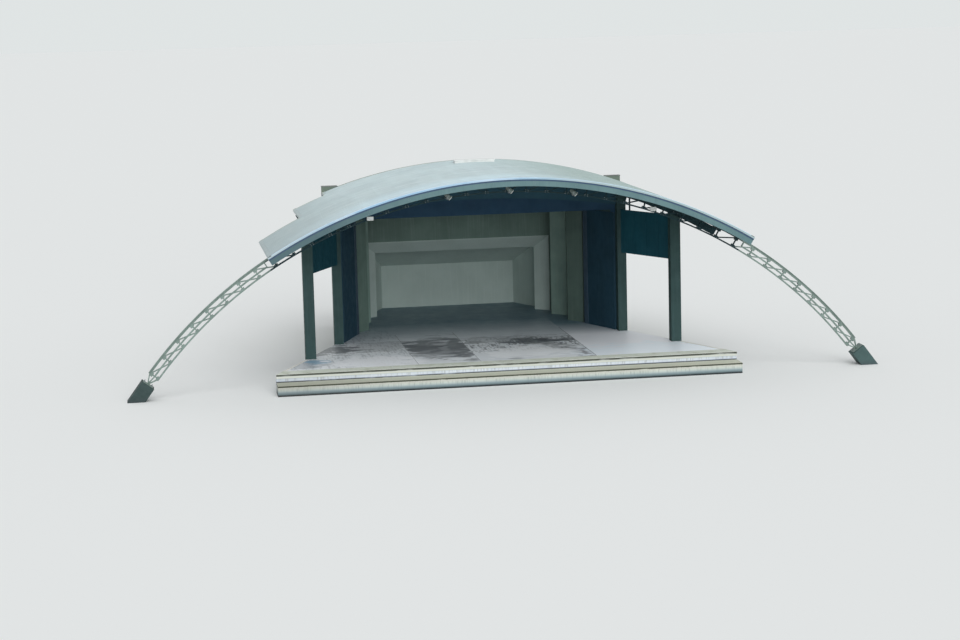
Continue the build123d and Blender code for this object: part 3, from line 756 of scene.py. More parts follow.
@dataclass
class Piece:
    """One mesh while it is built from blocks, rods and arcs. Lengths in metres."""

    name: str
    slot: str
    mesh: bmesh.types.BMesh = field(default_factory=bmesh.new)

    def block(self, start: Point, end: Point, place: Matrix = Matrix(), bevel: float = 0.0) -> None:
        """Adds a bar between two opposite corners.

        Args:
            start: one corner before it is placed.
            end: the other corner.
            place: turn and shift that are applied to it.
            bevel: width of the rounding along its edges.
        """
        size = [abs(high - low) for low, high in zip(start, end)]
        middle = (Vector(start) + Vector(end)) / 2
        matrix = place @ Matrix.Translation(middle) @ Matrix.Diagonal((*size, 1.0))
        verts = bmesh.ops.create_cube(self.mesh, size=1.0, matrix=matrix)["verts"]
        if bevel:
            bmesh.ops.bevel(self.mesh, geom=around(verts, "link_edges"), offset=bevel, segments=2,
                            offset_type="OFFSET", profile=0.5, affect="EDGES", material=-1)

    def rod(self, start: Point, end: Point, radius: float, place: Matrix = Matrix(), sides: int = 6,
            end_radius: float | None = None) -> None:
        """Adds a round or six-sided rod between two points.

        Args:
            start: middle of its first end.
            end: middle of its other end.
            radius: its radius.
            place: turn and shift that are applied to it.
            sides: number of its flat sides.
            end_radius: radius of the other end, where it tapers.
        """
        run = Vector(end) - Vector(start)
        turn = run.to_track_quat("Z", "Y").to_matrix().to_4x4()
        matrix = place @ Matrix.Translation((Vector(start) + Vector(end)) / 2) @ turn
        bmesh.ops.create_cone(self.mesh, cap_ends=True, segments=sides, radius1=radius,
                              radius2=radius if end_radius is None else end_radius,
                              depth=run.length, matrix=matrix)

    def arc(self, inner: float, outer: float, front: float, back: float, first: float, last: float,
            steps: int) -> None:
        """Spins a rectangle about the roof's axis.

        Args:
            inner: inner radius.
            outer: outer radius.
            front: front of the rectangle.
            back: back of it.
            first: angle from the crown at which the arc starts, in degrees.
            last: angle at which it ends.
            steps: number of straight stretches.
        """
        stand = Matrix.Translation((0.0, (front + back) / 2, LINES.axis_height + (inner + outer) / 2))
        size = Matrix.Diagonal((outer - inner, back - front, 1.0, 1.0))
        flat = Matrix.Rotation(math.pi / 2, 4, "Y") @ size
        verts = bmesh.ops.create_grid(self.mesh, x_segments=1, y_segments=1, size=0.5,
                                      matrix=LINES.round_roof(first) @ stand @ flat)["verts"]
        plate = verts + around(verts, "link_edges") + around(verts, "link_faces")
        bmesh.ops.spin(self.mesh, geom=plate, cent=(0.0, 0.0, LINES.axis_height), axis=(0.0, 1.0, 0.0),
                       angle=math.radians(last - first), steps=steps, use_merge=False, use_duplicate=False)

    def everything(self) -> list[Element]:
        """Lists all that the mesh holds so far."""
        return self.mesh.verts[:] + self.mesh.edges[:] + self.mesh.faces[:]

    def finish(self, finish: str, mirrored: bool = False, smooth: bool = False) -> bpy.types.Object:
        """Turns the mesh into an object that rides on the frame.

        Args:
            finish: name of its finish.
            mirrored: whether it is repeated on the left.
            smooth: whether its faces are shaded as one curve.

        Returns:
            The finished object.
        """
        if mirrored:
            bmesh.ops.mirror(self.mesh, geom=self.everything(), axis="X", merge_dist=0.00001)
        bmesh.ops.recalc_face_normals(self.mesh, faces=self.mesh.faces)
        data = bpy.data.meshes.new(self.name)
        self.mesh.to_mesh(data)
        self.mesh.free()
        data.materials.append(material(finish))
        data.polygons.foreach_set("use_smooth", [smooth] * len(data.polygons))
        made = bpy.data.objects.new(self.name, data)
        bpy.context.scene.collection.objects.link(made)
        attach(made, "root")
        log.info("built %s, %d faces", self.name, len(data.polygons))
        return made


@dataclass
class SubAssembly:
    """Group of solids with the fine pieces on them. Lengths in metres."""

    solids: ClassVar[Solids] = {}

    def dress(self) -> None:
        """Gives each of the group's solids its finish."""
        for finish, names in self.solids.items():
            for name in names:
                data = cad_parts[name].data
                data.materials.clear()
                data.materials.append(material(finish))
                log.info("dressed %s", name)

    def build(self) -> None:
        """Builds the group's fine pieces."""
        raise NotImplementedError


@dataclass
class Steps(SubAssembly):
    """Lower step, deck and everything below it."""

    solids: ClassVar[Solids] = {
        "step_beige": ("step_tread", "step_riser"),
        "riser_cream": ("deck_riser", "deck_side_walls", "deck_piers"),
        "deck_floor": ("stage_deck", "house_floor", "threshold_wall")}
    half_width: float = 12.0
    step_height: float = 0.54
    step_depth: float = 1.1
    nosing: float = 0.04
    arris: float = 0.022
    edging_depth: float = 0.95
    edging_slab: float = 3.0
    edging_gap: float = 0.005
    edging_rise: float = 0.012
    side_slope: float = 0.4222
    highlight_strip_width: float = 0.16
    highlight_strip_gap: float = 0.02
    highlight_strip_end: float = 5.4
    joints_along: tuple[Span, ...] = ((4.75, 0.02), (-1.35, 0.012), (-4.6, 0.012))
    joints_end: float = 12.5
    joint_rise: float = 0.004
    joint_across: Span = (-7.6, 4.75)
    joint_behind: float = 10.0
    joint_half: float = 0.007
    joint_across_rise: float = 0.003

    def build(self) -> None:
        """Builds arrises, edging, highlight strips and joints."""
        self.edges()
        self.edging()
        self.side_highlight_strips()
        self.joints()

    def edges(self) -> None:
        """Builds the dark arrises along the front, as painted nosing shadow."""
        arris = Piece("front_arrises", "step_beige")
        for behind, top in ((self.step_depth, LINES.stage_height), (0.0, self.step_height)):
            y, z = LINES.y(behind - self.nosing), top - self.arris
            arris.rod((-self.half_width, y, z), (self.half_width, y, z), self.arris, sides=12)
        arris.finish("nosing_shadow_edge", smooth=True)

    def edging(self) -> None:
        """Lays the mossy edging slabs along the deck's front and cuts them to its splayed sides."""
        slabs = Piece("deck_edging", "deck_floor")
        base, top = LINES.stage_height, LINES.stage_height + self.edging_rise
        front, back = LINES.y(self.step_depth), LINES.y(self.step_depth + self.edging_depth)
        for number in range(round(2 * self.half_width / self.edging_slab)):
            left = number * self.edging_slab - self.half_width
            slabs.block((left + self.edging_gap, front, base),
                        (left + self.edging_slab - self.edging_gap, back, top), bevel=0.004)
        corner = self.half_width - self.side_slope * self.edging_depth
        for side in SIDES:
            cut = Vector((side, self.side_slope, 0.0)).normalized()
            bmesh.ops.bisect_plane(slabs.mesh, geom=slabs.everything(), plane_co=(side * corner, back, 0.0),
                                   plane_no=cut, clear_outer=True)
            rim = [edge for edge in slabs.mesh.edges if edge.is_boundary]
            bmesh.ops.holes_fill(slabs.mesh, edges=rim, sides=0)
        slabs.finish("edging")

    def side_highlight_strips(self) -> None:
        """Lays pale strips down the deck's splayed sides, a painted highlight of their sunlit edges."""
        side_highlight_strips = Piece("deck_side_highlight_strips", "riser_cream")
        ends = [(self.half_width - self.side_slope * (behind - self.step_depth), behind)
                for behind in (self.step_depth + self.edging_depth, self.highlight_strip_end)]
        place, length = LINES.upright(*ends, LINES.stage_height)
        side_highlight_strips.block((self.highlight_strip_gap, 0.0, 0.0), (length, self.highlight_strip_width, self.edging_rise), place,
                    bevel=0.003)
        side_highlight_strips.finish("lit_edge_white", mirrored=True)

    def joints(self) -> None:
        """Runs bitumen along the joints between the floor's bays."""
        joints = Piece("floor_joints", "deck_floor")
        base, front = LINES.stage_height, LINES.y(self.step_depth + self.edging_depth)
        for line, width in self.joints_along:
            joints.block((line - width / 2, front, base),
                         (line + width / 2, LINES.y(self.joints_end), base + self.joint_rise))
        left, right = self.joint_across
        across = LINES.y(self.joint_behind)
        joints.block((left, across - self.joint_half, base),
                     (right, across + self.joint_half, base + self.joint_across_rise))
        joints.finish("bitumen")


@dataclass
class Posts(SubAssembly):
    """Four posts, the ribs on them and the panels between them."""

    solids: ClassVar[Solids] = {
        "post_paint": ("front_post_left", "front_post_right", "mid_post_left", "mid_post_right"),
        "shaded_steel": ("front_rib", "mid_rib", "screen_struts"),
        "border_teal": ("border_panel",),
        "screen_green": ("side_screens",)}
    front_post: Point = (9.872, 5.49, 0.55)
    mid_post: Point = (7.95, 10.1, 0.5)
    rib_width: float = 0.3
    cleat: float = 0.2
    cleat_height: float = 0.22
    post_margin: float = 0.01
    plate: float = 0.014
    bolt: float = 0.018
    bolts_out: float = 0.12
    bolts_up: float = 0.15
    screen_top: float = 7.74
    screen_height: float = 2.4
    screen_half: float = 0.04
    batten: float = 0.045
    batten_inset: float = 0.05
    strip: Span = (0.03, 0.012)
    strip_inset: float = 0.15
    strip_pitch: float = 1.1

    def build(self) -> None:
        """Builds cleats, battens and cover strips."""
        self.cleats()
        self.screens()

    def cleats(self) -> None:
        """Bolts each rib to its posts with angle cleats that stand on the posts' tops."""
        cleats = Piece("rib_cleats", "lattice_paint")
        bolts = Piece("rib_cleat_bolts", "lattice_paint")
        radius = LINES.truss_radius() - LINES.rib_depth
        foot = LINES.axis_height + radius
        plate = foot + self.plate
        for x, behind, size in (self.front_post, self.mid_post):
            place = LINES.round_roof(LINES.angle_at(x, radius))
            middle = LINES.y(behind + size / 2)
            for side in SIDES:
                face = middle + side * self.rib_width / 2
                out = face + side * self.plate
                reach = middle + side * (size / 2 - self.post_margin)
                head = out + side * self.bolt
                near = (-self.cleat, face, foot)
                cleats.block(near, (self.cleat, out, foot + self.cleat_height), place, bevel=0.002)
                cleats.block(near, (self.cleat, reach, plate), place, bevel=0.002)
                up, half = foot + self.bolts_up, (out + reach) / 2
                for across in (-self.bolts_out, self.bolts_out):
                    bolts.rod((across, out, up), (across, head, up), self.bolt, place)
                    bolts.rod((across, half, plate), (across, half, plate + self.bolt), self.bolt, place)
        cleats.finish("shaded_steel", mirrored=True)
        bolts.finish("galvanised", mirrored=True)

    def screens(self) -> None:
        """Frames the screens with battens outside and cover strips inside."""
        start = (self.front_post[0], self.front_post[1] + self.front_post[2])
        place, length = LINES.upright(start, self.mid_post[:2], self.screen_top - self.screen_height)
        near, far = -self.screen_half - self.batten, -self.screen_half
        battens = Piece("screen_battens", "screen_green")
        for low in (0.0, (self.screen_height - self.batten) / 2, self.screen_height - self.batten):
            battens.block((self.batten_inset, near, low),
                          (length - self.batten_inset, far, low + self.batten), place, bevel=0.003)
        strips = Piece("screen_cover_strips", "screen_green")
        wide, thick = self.strip
        count = int(length / self.strip_pitch)
        for number in range(count + 1):
            along = self.strip_inset + number * (length - 2 * self.strip_inset) / count
            for piece, half, inner, outer in ((battens, self.batten / 2, near, far),
                                              (strips, wide, -far, -far + thick)):
                piece.block((along - half, inner, 0.0), (along + half, outer, self.screen_height), place,
                            bevel=0.003)
        for piece in (battens, strips):
            piece.finish("screen_green", mirrored=True)


@dataclass
class Roof(SubAssembly):
    """Barrel roof: sheet, fascia, purlins and the ridge box."""

    solids: ClassVar[Solids] = {
        "roof_metal": ("roof_skin",),
        "fascia_paint": ("roof_fascia",),
        "shaded_steel": ("roof_purlins",),
        "trim_white": ("ridge_box",)}
    overhang: float = 1.36
    lip: float = 0.04
    fascia_height: float = 0.34
    rear_steps: tuple[Span, ...] = ((12.3, 6.3), (10.15, 11.0), (8.43, 12.5))
    sheet_rib: float = 0.02
    sheet_rib_width: float = 0.045
    sheet_rib_pitch: float = 0.46
    sheet_rib_steps: int = 24
    rear_margins: Span = (0.1, 0.05)
    edge_steps: int = 48
    flashing: float = 0.16
    flashing_rise: float = 0.024
    bright_edge: float = 0.035
    gap_shadow_height: float = 0.075
    sheet: float = 0.006
    fold: float = 0.014
    lip_depth: float = 0.1
    cover: float = 0.14
    last_cover: float = 5.5
    rivets_out: float = 0.045
    rivets_up: Point = (0.05, 0.13, 0.21)
    rivet_radii: Span = (0.011, 0.006)
    rib_lines: tuple[Span, ...] = ((5.765, 12.3), (10.35, 10.15))
    rib_end_margin: float = 0.2
    last_purlin: int = 11
    purlin_half: float = 0.05
    cleat_half: float = 0.05
    cleat_legs: tuple[Span, ...] = ((0.01, 0.15), (0.1, 0.01))
    lid_out: float = 0.03
    lid_below: Span = (0.05, 0.004)
    louvres: int = 11
    louvre_first: float = 0.06
    louvre_pitch: float = 0.19
    louvre_size: Span = (0.15, 0.012)
    louvre_below: Span = (0.12, 0.1)

    def build(self) -> None:
        """Builds all that is folded, riveted or bolted to the roof."""
        self.sheet_ribs()
        self.flashings()
        self.fascia()
        self.purlin_cleats()
        self.ridge_box_lid()

    def sheet_ribs(self) -> None:
        """Runs low ribs round the curve."""
        outer = LINES.roof_radius + LINES.skin
        ribs = Piece("roof_sheet_ribs", "roof_metal")
        last, margin = self.rear_margins
        behind = self.sheet_rib_pitch / 2 - self.overhang
        while behind < self.rear_steps[-1][1] - last:
            reach = next(width for width, back in self.rear_steps if behind < back - margin)
            angle = LINES.angle_at(reach - self.flashing, outer)
            front = LINES.y(behind)
            ribs.arc(outer, outer + self.sheet_rib, front, front + self.sheet_rib_width, -angle, angle,
                     self.sheet_rib_steps)
            behind += self.sheet_rib_pitch
        ribs.finish("roof_metal")

    def flashings(self) -> None:
        """Folds flashings over the side edges and a bright one over the front edge, whose brightness is a
        painted highlight.
        """
        outer = LINES.roof_radius + LINES.skin
        verges = Piece("roof_verge_flashings", "roof_metal")
        front = -self.overhang
        for reach, back in self.rear_steps:
            verges.arc(outer, outer + self.flashing_rise, LINES.y(front), LINES.y(back),
                       LINES.angle_at(reach - self.flashing, outer), LINES.angle_at(reach, outer), 1)
            front = back
        verges.finish("roof_metal", mirrored=True)
        # Painted highlight: the bright front flashing
        rim = Piece("roof_front_highlight_flashing", "roof_metal")
        edge = LINES.angle_at(LINES.roof_half_width, outer)
        front = LINES.y(-self.overhang)
        rim.arc(outer, outer + self.flashing_rise, front, front + self.bright_edge, -edge, edge,
                self.edge_steps)
        rim.finish("edge_highlight_flashing")

    def fascia(self) -> None:
        """Adds a dark strip of painted gap shadow, a bottom lip and riveted cover plates to the fascia."""
        face = LINES.y(self.lip - self.overhang)
        radius = LINES.roof_radius
        low = radius - self.fascia_height
        edge = LINES.angle_at(LINES.roof_half_width, radius)
        for name, finish, inner, outer, front, back in (
                # Dark blue strip of painted shadow under the roof sheet's lip
                ("fascia_gap_shadow_strip", "gap_shadow_strip", radius - self.gap_shadow_height, radius, face - self.fold, face),
                ("fascia_bottom_lip", "fascia_paint", low - self.sheet, low, face, face + self.lip_depth)):
            strip = Piece(name, "fascia_paint")
            strip.arc(inner, outer, front, back, -edge, edge, self.edge_steps)
            strip.finish(finish)
        covers = Piece("fascia_cover_plates", "fascia_paint")
        rivets = Piece("fascia_rivets", "fascia_paint")
        foot = LINES.axis_height + low
        plate = face - self.sheet
        wide, narrow = self.rivet_radii
        for number in range(round(2 * self.last_cover)):
            place = LINES.round_roof((number - self.last_cover + 1.0) * 2 * LINES.bay)
            covers.block((-self.cover / 2, plate, foot),
                         (self.cover / 2, face, foot + self.fascia_height - self.gap_shadow_height), place, bevel=0.002)
            for across in (-self.rivets_out, self.rivets_out):
                for up in self.rivets_up:
                    rivets.rod((across, plate, foot + up), (across, face - self.fold, foot + up), wide,
                               place, 8, narrow)
        covers.finish("fascia_paint")
        rivets.finish("galvanised")

    def purlin_cleats(self) -> None:
        """Sets an angle cleat beside each purlin where it crosses a rib."""
        cleats = Piece("purlin_cleats", "lattice_paint")
        foot = LINES.truss_top()
        for behind, reach in self.rib_lines:
            near, far = (LINES.y(behind) + side * self.cleat_half for side in SIDES)
            for number in range(-self.last_purlin, self.last_purlin + 1):
                angle = number * LINES.bay
                if abs(LINES.roof_radius * math.sin(math.radians(angle))) > reach - self.rib_end_margin:
                    continue
                for width, height in self.cleat_legs:
                    cleats.block((self.purlin_half, near, foot),
                                 (self.purlin_half + width, far, foot + height), LINES.round_roof(angle),
                                 bevel=0.001)
        cleats.finish("shaded_steel")

    def ridge_box_lid(self) -> None:
        """Folds a lid's lip and louvres round the ridge box."""
        low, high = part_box("ridge_box")
        lid = Piece("ridge_box_lid", "trim_white")
        out = Vector((self.lid_out, self.lid_out, 0.0))
        bottom, top = (Vector((0.0, 0.0, below)) for below in self.lid_below)
        lid.block(Vector((low.x, low.y, high.z)) - out - bottom, high + out - top, bevel=0.006)
        wide, thick = self.louvre_size
        under, over = (high.z - below for below in self.louvre_below)
        for number in range(self.louvres):
            left = low.x + self.louvre_first + number * self.louvre_pitch
            lid.block((left, low.y - thick, under), (left + wide, low.y, over), bevel=0.003)
        lid.finish("trim_white")


@dataclass
class Arch(SubAssembly):
    """Lattice arch with its gussets, splices, shoes and footings."""

    solids: ClassVar[Solids] = {
        "shaded_steel": ("arch_middle", "arch_shoulder_left", "arch_shoulder_right"),
        "lattice_paint": ("arch_leg_left", "arch_leg_right"),
        "footing_concrete": ("arch_footings",)}
    outer_chord: float = 0.13
    gusset: Span = (0.2, 0.15)
    gusset_overlap: float = 0.03
    plate: float = 0.008
    bolt: float = 0.014
    bolt_head: float = 0.012
    gusset_bolts: tuple[Span, ...] = ((-0.07, 0.03), (0.07, 0.03), (-0.07, 0.11), (0.07, 0.11))
    leg_node: int = 13
    last_node: int = 20
    splices_at: Span = (14.3, 31.6)
    splice_half: float = 0.22
    splice_plate: float = 0.012
    splice_heights: Span = (0.025, 0.075)
    splice_bolt: float = 0.0112
    splice_bolts: tuple[float, ...] = (-0.18, -0.12, -0.06, 0.06, 0.12, 0.18)
    footing_angle: float = 53.3
    shoe_half: Span = (0.24, 0.3)
    shoe_plate: float = 0.02
    stiffener: Span = (0.2, 0.16)
    anchors_at: Span = (0.17, 0.22)
    anchor_nut: Span = (0.032, 0.05)
    anchor_rod: Span = (0.016, 0.11)

    def build(self) -> None:
        """Builds gussets, splices and shoes."""
        leg = self.leg_node
        self.gussets("arch_gussets_under_roof", "shaded_steel", range(1 - leg, leg))
        self.gussets("arch_gussets_of_legs", "lattice_paint", range(leg, self.last_node + 1))
        self.splices()
        self.shoes()

    def gussets(self, name: str, finish: str, nodes: range) -> None:
        """Bolts a gusset plate on both faces of each node.

        Args:
            name: the piece's name.
            finish: its finish.
            nodes: numbers of the nodes on the right, counted from the crown.
        """
        plates = Piece(name, "lattice_paint")
        bolts = Piece(f"{name}_bolts", "lattice_paint")
        middle, top = LINES.y(LINES.arch_behind), LINES.truss_top()
        wide, high = self.gusset
        for number in nodes:
            place = LINES.round_roof(number * LINES.bay)
            for foot in (top - self.outer_chord - high + self.gusset_overlap,
                         top - LINES.arch_depth - self.gusset_overlap):
                for side in SIDES:
                    near = middle + side * LINES.chord_half
                    far = near + side * self.plate
                    plates.block((-wide / 2, near, foot), (wide / 2, far, foot + high), place)
                    for across, up in self.gusset_bolts:
                        bolts.rod((across, far, foot + up),
                                  (across, far + side * self.bolt_head, foot + up), self.bolt, place)
        plates.finish(finish, mirrored=nodes.start > 0)
        bolts.finish("galvanised", mirrored=nodes.start > 0)

    def splices(self) -> None:
        """Covers the joints between the arch's stretches with bolted plates."""
        plates = Piece("arch_splice_plates", "lattice_paint")
        top = LINES.truss_top()
        upper, lower = self.splice_heights
        for angle in self.splices_at:
            place = LINES.round_roof(angle)
            for foot, rise in ((top - self.outer_chord, upper),
                               (top - LINES.arch_depth - lower / 2, lower)):
                for side in SIDES:
                    near = LINES.y(LINES.arch_behind) + side * LINES.chord_half
                    far = near + side * self.splice_plate
                    plates.block((-self.splice_half, near, foot), (self.splice_half, far, foot + rise),
                                 place, bevel=0.002)
                    for across in self.splice_bolts:
                        plates.rod((across, far, foot + rise / 2),
                                   (across, far + side * self.bolt_head, foot + rise / 2),
                                   self.splice_bolt, place)
        plates.finish("shaded_steel", mirrored=True)

    def shoes(self) -> None:
        """Sets each leg's shoe on a base plate with anchor bolts and stiffeners."""
        shoes = Piece("arch_shoes", "lattice_paint")
        bolts = Piece("arch_anchor_bolts", "lattice_paint")
        middle = LINES.y(LINES.arch_behind)
        radius = LINES.truss_top() - LINES.arch_depth / 2
        place = LINES.round_roof(self.footing_angle)
        deep, tall = self.shoe_half
        base = -self.shoe_plate
        shoes.block((base, middle - deep, radius - tall), (0.0, middle + deep, radius + tall), place,
                    bevel=0.004)
        reach, rise = self.stiffener
        (nut, nut_top), (thread, thread_top) = self.anchor_nut, self.anchor_rod
        out, apart = self.anchors_at
        for side in SIDES:
            shoes.block((-rise, middle + side * LINES.chord_half, radius - self.plate),
                        (base, middle + side * reach, radius + self.plate), place, bevel=0.002)
            at = middle + side * out
            for up in (radius - apart, radius + apart):
                bolts.rod((base, at, up), (-nut_top, at, up), nut, place)
                bolts.rod((-nut_top, at, up), (-thread_top, at, up), thread, place, sides=8)
        shoes.finish("lattice_paint", mirrored=True)
        bolts.finish("galvanised", mirrored=True)


@dataclass
class StageLights(SubAssembly):
    """Floodlights and spotlights, clamped to the front of the arch's lower chord."""

    floodlights: tuple[Span, ...] = ((-7.01, 0.05), (7.55, 0.145))
    floodlight_half: Point = (0.165, 0.08, 0.1)
    wall: float = 0.01
    sheet: float = 0.006
    fins: int = 7
    fin_shares: Point = (0.8, 0.26, 0.9)
    hood_share: float = 0.4
    glass_shares: Span = (0.62, 0.5)
    ear: Point = (0.015, -0.01, 0.02)
    ear_knob: Span = (0.005, 0.02)
    spotlights: Point = (-3.06, 0.1, 3.4)
    spotlight_half: float = 0.2
    spotlight_radii: Span = (0.125, 0.075)
    spotlight_rise: float = 0.13
    spotlight_tilt: float = 50.0
    spotlight_sides: int = 24
    barrel_ends: Span = (0.05, 0.01)
    barrel_shares: Span = (1.2, 0.94)
    rear_cap: Span = (0.05, 0.6)
    mouth_ring: float = 0.025
    mouth_rim: float = 0.012
    glass_sunk: float = 0.05
    glass_share: float = 0.86
    glass_half: float = 0.002
    cooling_rings: tuple[float, ...] = (0.04, 0.07, 0.1, 0.13)
    cooling_share: float = 1.45
    yoke_gap: float = 0.008
    yoke_half: float = 0.016
    yoke_heights: Span = (-0.17, 0.03)
    yoke_pin: Point = (0.014, 0.75, 0.024)
    knob: float = 0.016
    clamp_reach: float = 0.07
    clamp_half: float = 0.04
    clamp_heights: Span = (-0.055, 0.03)
    clamp_plate: Span = (0.045, 0.012)
    clamp_screw: Span = (0.01, 0.03)
    shell: Piece = field(default_factory=lambda: Piece("stage_light_housings", "trim_white"))
    barrels: Piece = field(default_factory=lambda: Piece("spotlight_barrels", "trim_white"))
    glass: Piece = field(default_factory=lambda: Piece("stage_light_glasses", "trim_white"))
    metal: Piece = field(default_factory=lambda: Piece("stage_light_clamps", "trim_white"))

    def housing(self, place: Matrix) -> None:
        """Builds one floodlight whose glass looks down.

        Args:
            place: where the housing's middle goes.
        """
        half, deep, tall = self.floodlight_half
        inner, hollow = half - self.wall, deep - self.wall
        under, over = (-tall * share for share in self.glass_shares)
        self.shell.block((-half, -deep, over), (half, deep, tall), place, bevel=0.02)
        long, apart, low = self.fin_shares
        for number in range(self.fins):
            left = half * (number * apart - long)
            self.shell.block((left, -deep * long, tall * low), (left + self.sheet, deep * long, tall), place)
        for start, end in (((-half, -deep), (half, -hollow)), ((-half, hollow), (half, deep)),
                           ((-half, -deep), (-inner, deep)), ((inner, -deep), (half, deep))):
            self.shell.block((*start, -tall), (*end, -tall * self.hood_share), place, bevel=0.003)
        self.glass.block((-inner, -hollow, under), (inner, hollow, over), place)
        wide, low, high = self.ear
        up, out = self.ear_knob
        for side in SIDES:
            yoke = side * (half + self.sheet)
            self.metal.block((side * half, -wide, low), (yoke, wide, high), place)
            self.metal.rod((yoke, 0.0, up), (side * (half + out), 0.0, up), self.knob, place, sides=10)

    def spotlight(self, middle: Vector) -> None:
        """Builds one spotlight: barrel, sunk glass, cooling rings and the yoke that holds it.

        Args:
            middle: middle of the barrel.
        """
        mouth, rear = self.spotlight_radii
        half, sides, mesh = self.spotlight_half, self.spotlight_sides, self.barrels.mesh
        corner = Matrix.Translation(middle)
        place = corner @ Matrix.Rotation(math.radians(-self.spotlight_tilt), 4, "Y")
        behind, before = self.barrel_ends
        shift = Matrix.Translation((0.0, 0.0, (before - behind) / 2))
        turn = place @ shift @ Matrix.Rotation(math.pi, 4, "X")
        back_share, front_share = self.barrel_shares
        barrel = bmesh.ops.create_cone(mesh, cap_ends=True, segments=sides, radius1=rear * back_share,
                                       radius2=mouth * front_share, depth=2 * half - behind - before,
                                       matrix=turn)["verts"]
        front = place @ Vector((0.0, 0.0, before - half))
        cap = min(around(barrel, "link_faces"), key=lambda face: (face.calc_center_median() - front).length)
        bmesh.ops.inset_region(mesh, faces=[cap], thickness=self.mouth_rim)
        sunk = bmesh.ops.extrude_discrete_faces(mesh, faces=[cap])["faces"][0]
        inward = place.to_3x3() @ Vector((0.0, 0.0, self.glass_sunk))
        bmesh.ops.translate(mesh, vec=inward, verts=sunk.verts)
        (cap_length, cap_share), pane = self.rear_cap, self.glass_half
        self.barrels.rod((0.0, 0.0, half - cap_length), (0.0, 0.0, half), rear, place, sides,
                         rear * cap_share)
        for piece, start, end, radius in (
                *((self.barrels, ring, ring + self.sheet, rear * self.cooling_share)
                  for ring in self.cooling_rings),
                (self.shell, -half, -half + self.mouth_ring, mouth),
                (self.glass, -half - pane, -half + pane, mouth * self.glass_share)):
            piece.rod((0.0, 0.0, start), (0.0, 0.0, end), radius, place, sides)
        arm, wide = mouth + self.yoke_gap, self.yoke_half
        low, high = self.yoke_heights
        pin, pin_share, pin_out = self.yoke_pin
        for side in SIDES:
            self.metal.block((-wide, side * arm, low), (wide, side * (arm + self.sheet), high), corner,
                             bevel=0.001)
            self.metal.rod((0.0, side * mouth * pin_share, 0.0), (0.0, side * (arm + pin_out), 0.0), pin,
                           corner, sides=8)
        self.metal.block((-wide, -arm, low - self.sheet), (wide, arm, low), corner, bevel=0.001)

    def clamp(self, x: float) -> Vector:
        """Hooks a clamp over the front of the arch's lower chord.

        Args:
            x: its place across.

        Returns:
            The middle of the clamp's front end.
        """
        lower = LINES.truss_radius() - LINES.arch_depth
        up = LINES.axis_height + math.sqrt(lower ** 2 - x ** 2)
        chord = LINES.y(LINES.arch_behind - LINES.chord_half)
        front = chord - self.clamp_reach
        low, high = (up + height for height in self.clamp_heights)
        half, (wide, thick), (radius, length) = self.clamp_half, self.clamp_plate, self.clamp_screw
        self.metal.block((x - half, front, low), (x + half, chord, high), bevel=0.004)
        self.metal.block((x - wide, chord - thick, low), (x + wide, chord, 2 * up - low), bevel=0.003)
        self.metal.rod((x, chord - length, low), (x, chord - length, low - length), radius)
        return Vector((x, front, up))

    def build(self) -> None:
        """Builds all lights in place of their plain solids."""
        for x, rise in self.floodlights:
            hook = self.clamp(x)
            self.housing(Matrix.Translation(hook + Vector((0.0, -self.floodlight_half[1], rise))))
            near = hook.y - self.sheet
            self.metal.rod((x, near, hook.z), (x, near, hook.z + rise), self.knob, sides=10)
        for x in self.spotlights:
            self.spotlight(self.clamp(x) + Vector((0.0, -self.spotlight_radii[0], self.spotlight_rise)))
        housings = self.shell.finish("trim_white")
        # Barrels in painted shade
        self.barrels.finish("painted_shade_enamel")
        self.glass.finish("lamp_glass")
        self.metal.finish("galvanised")
        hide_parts("stage_lights")


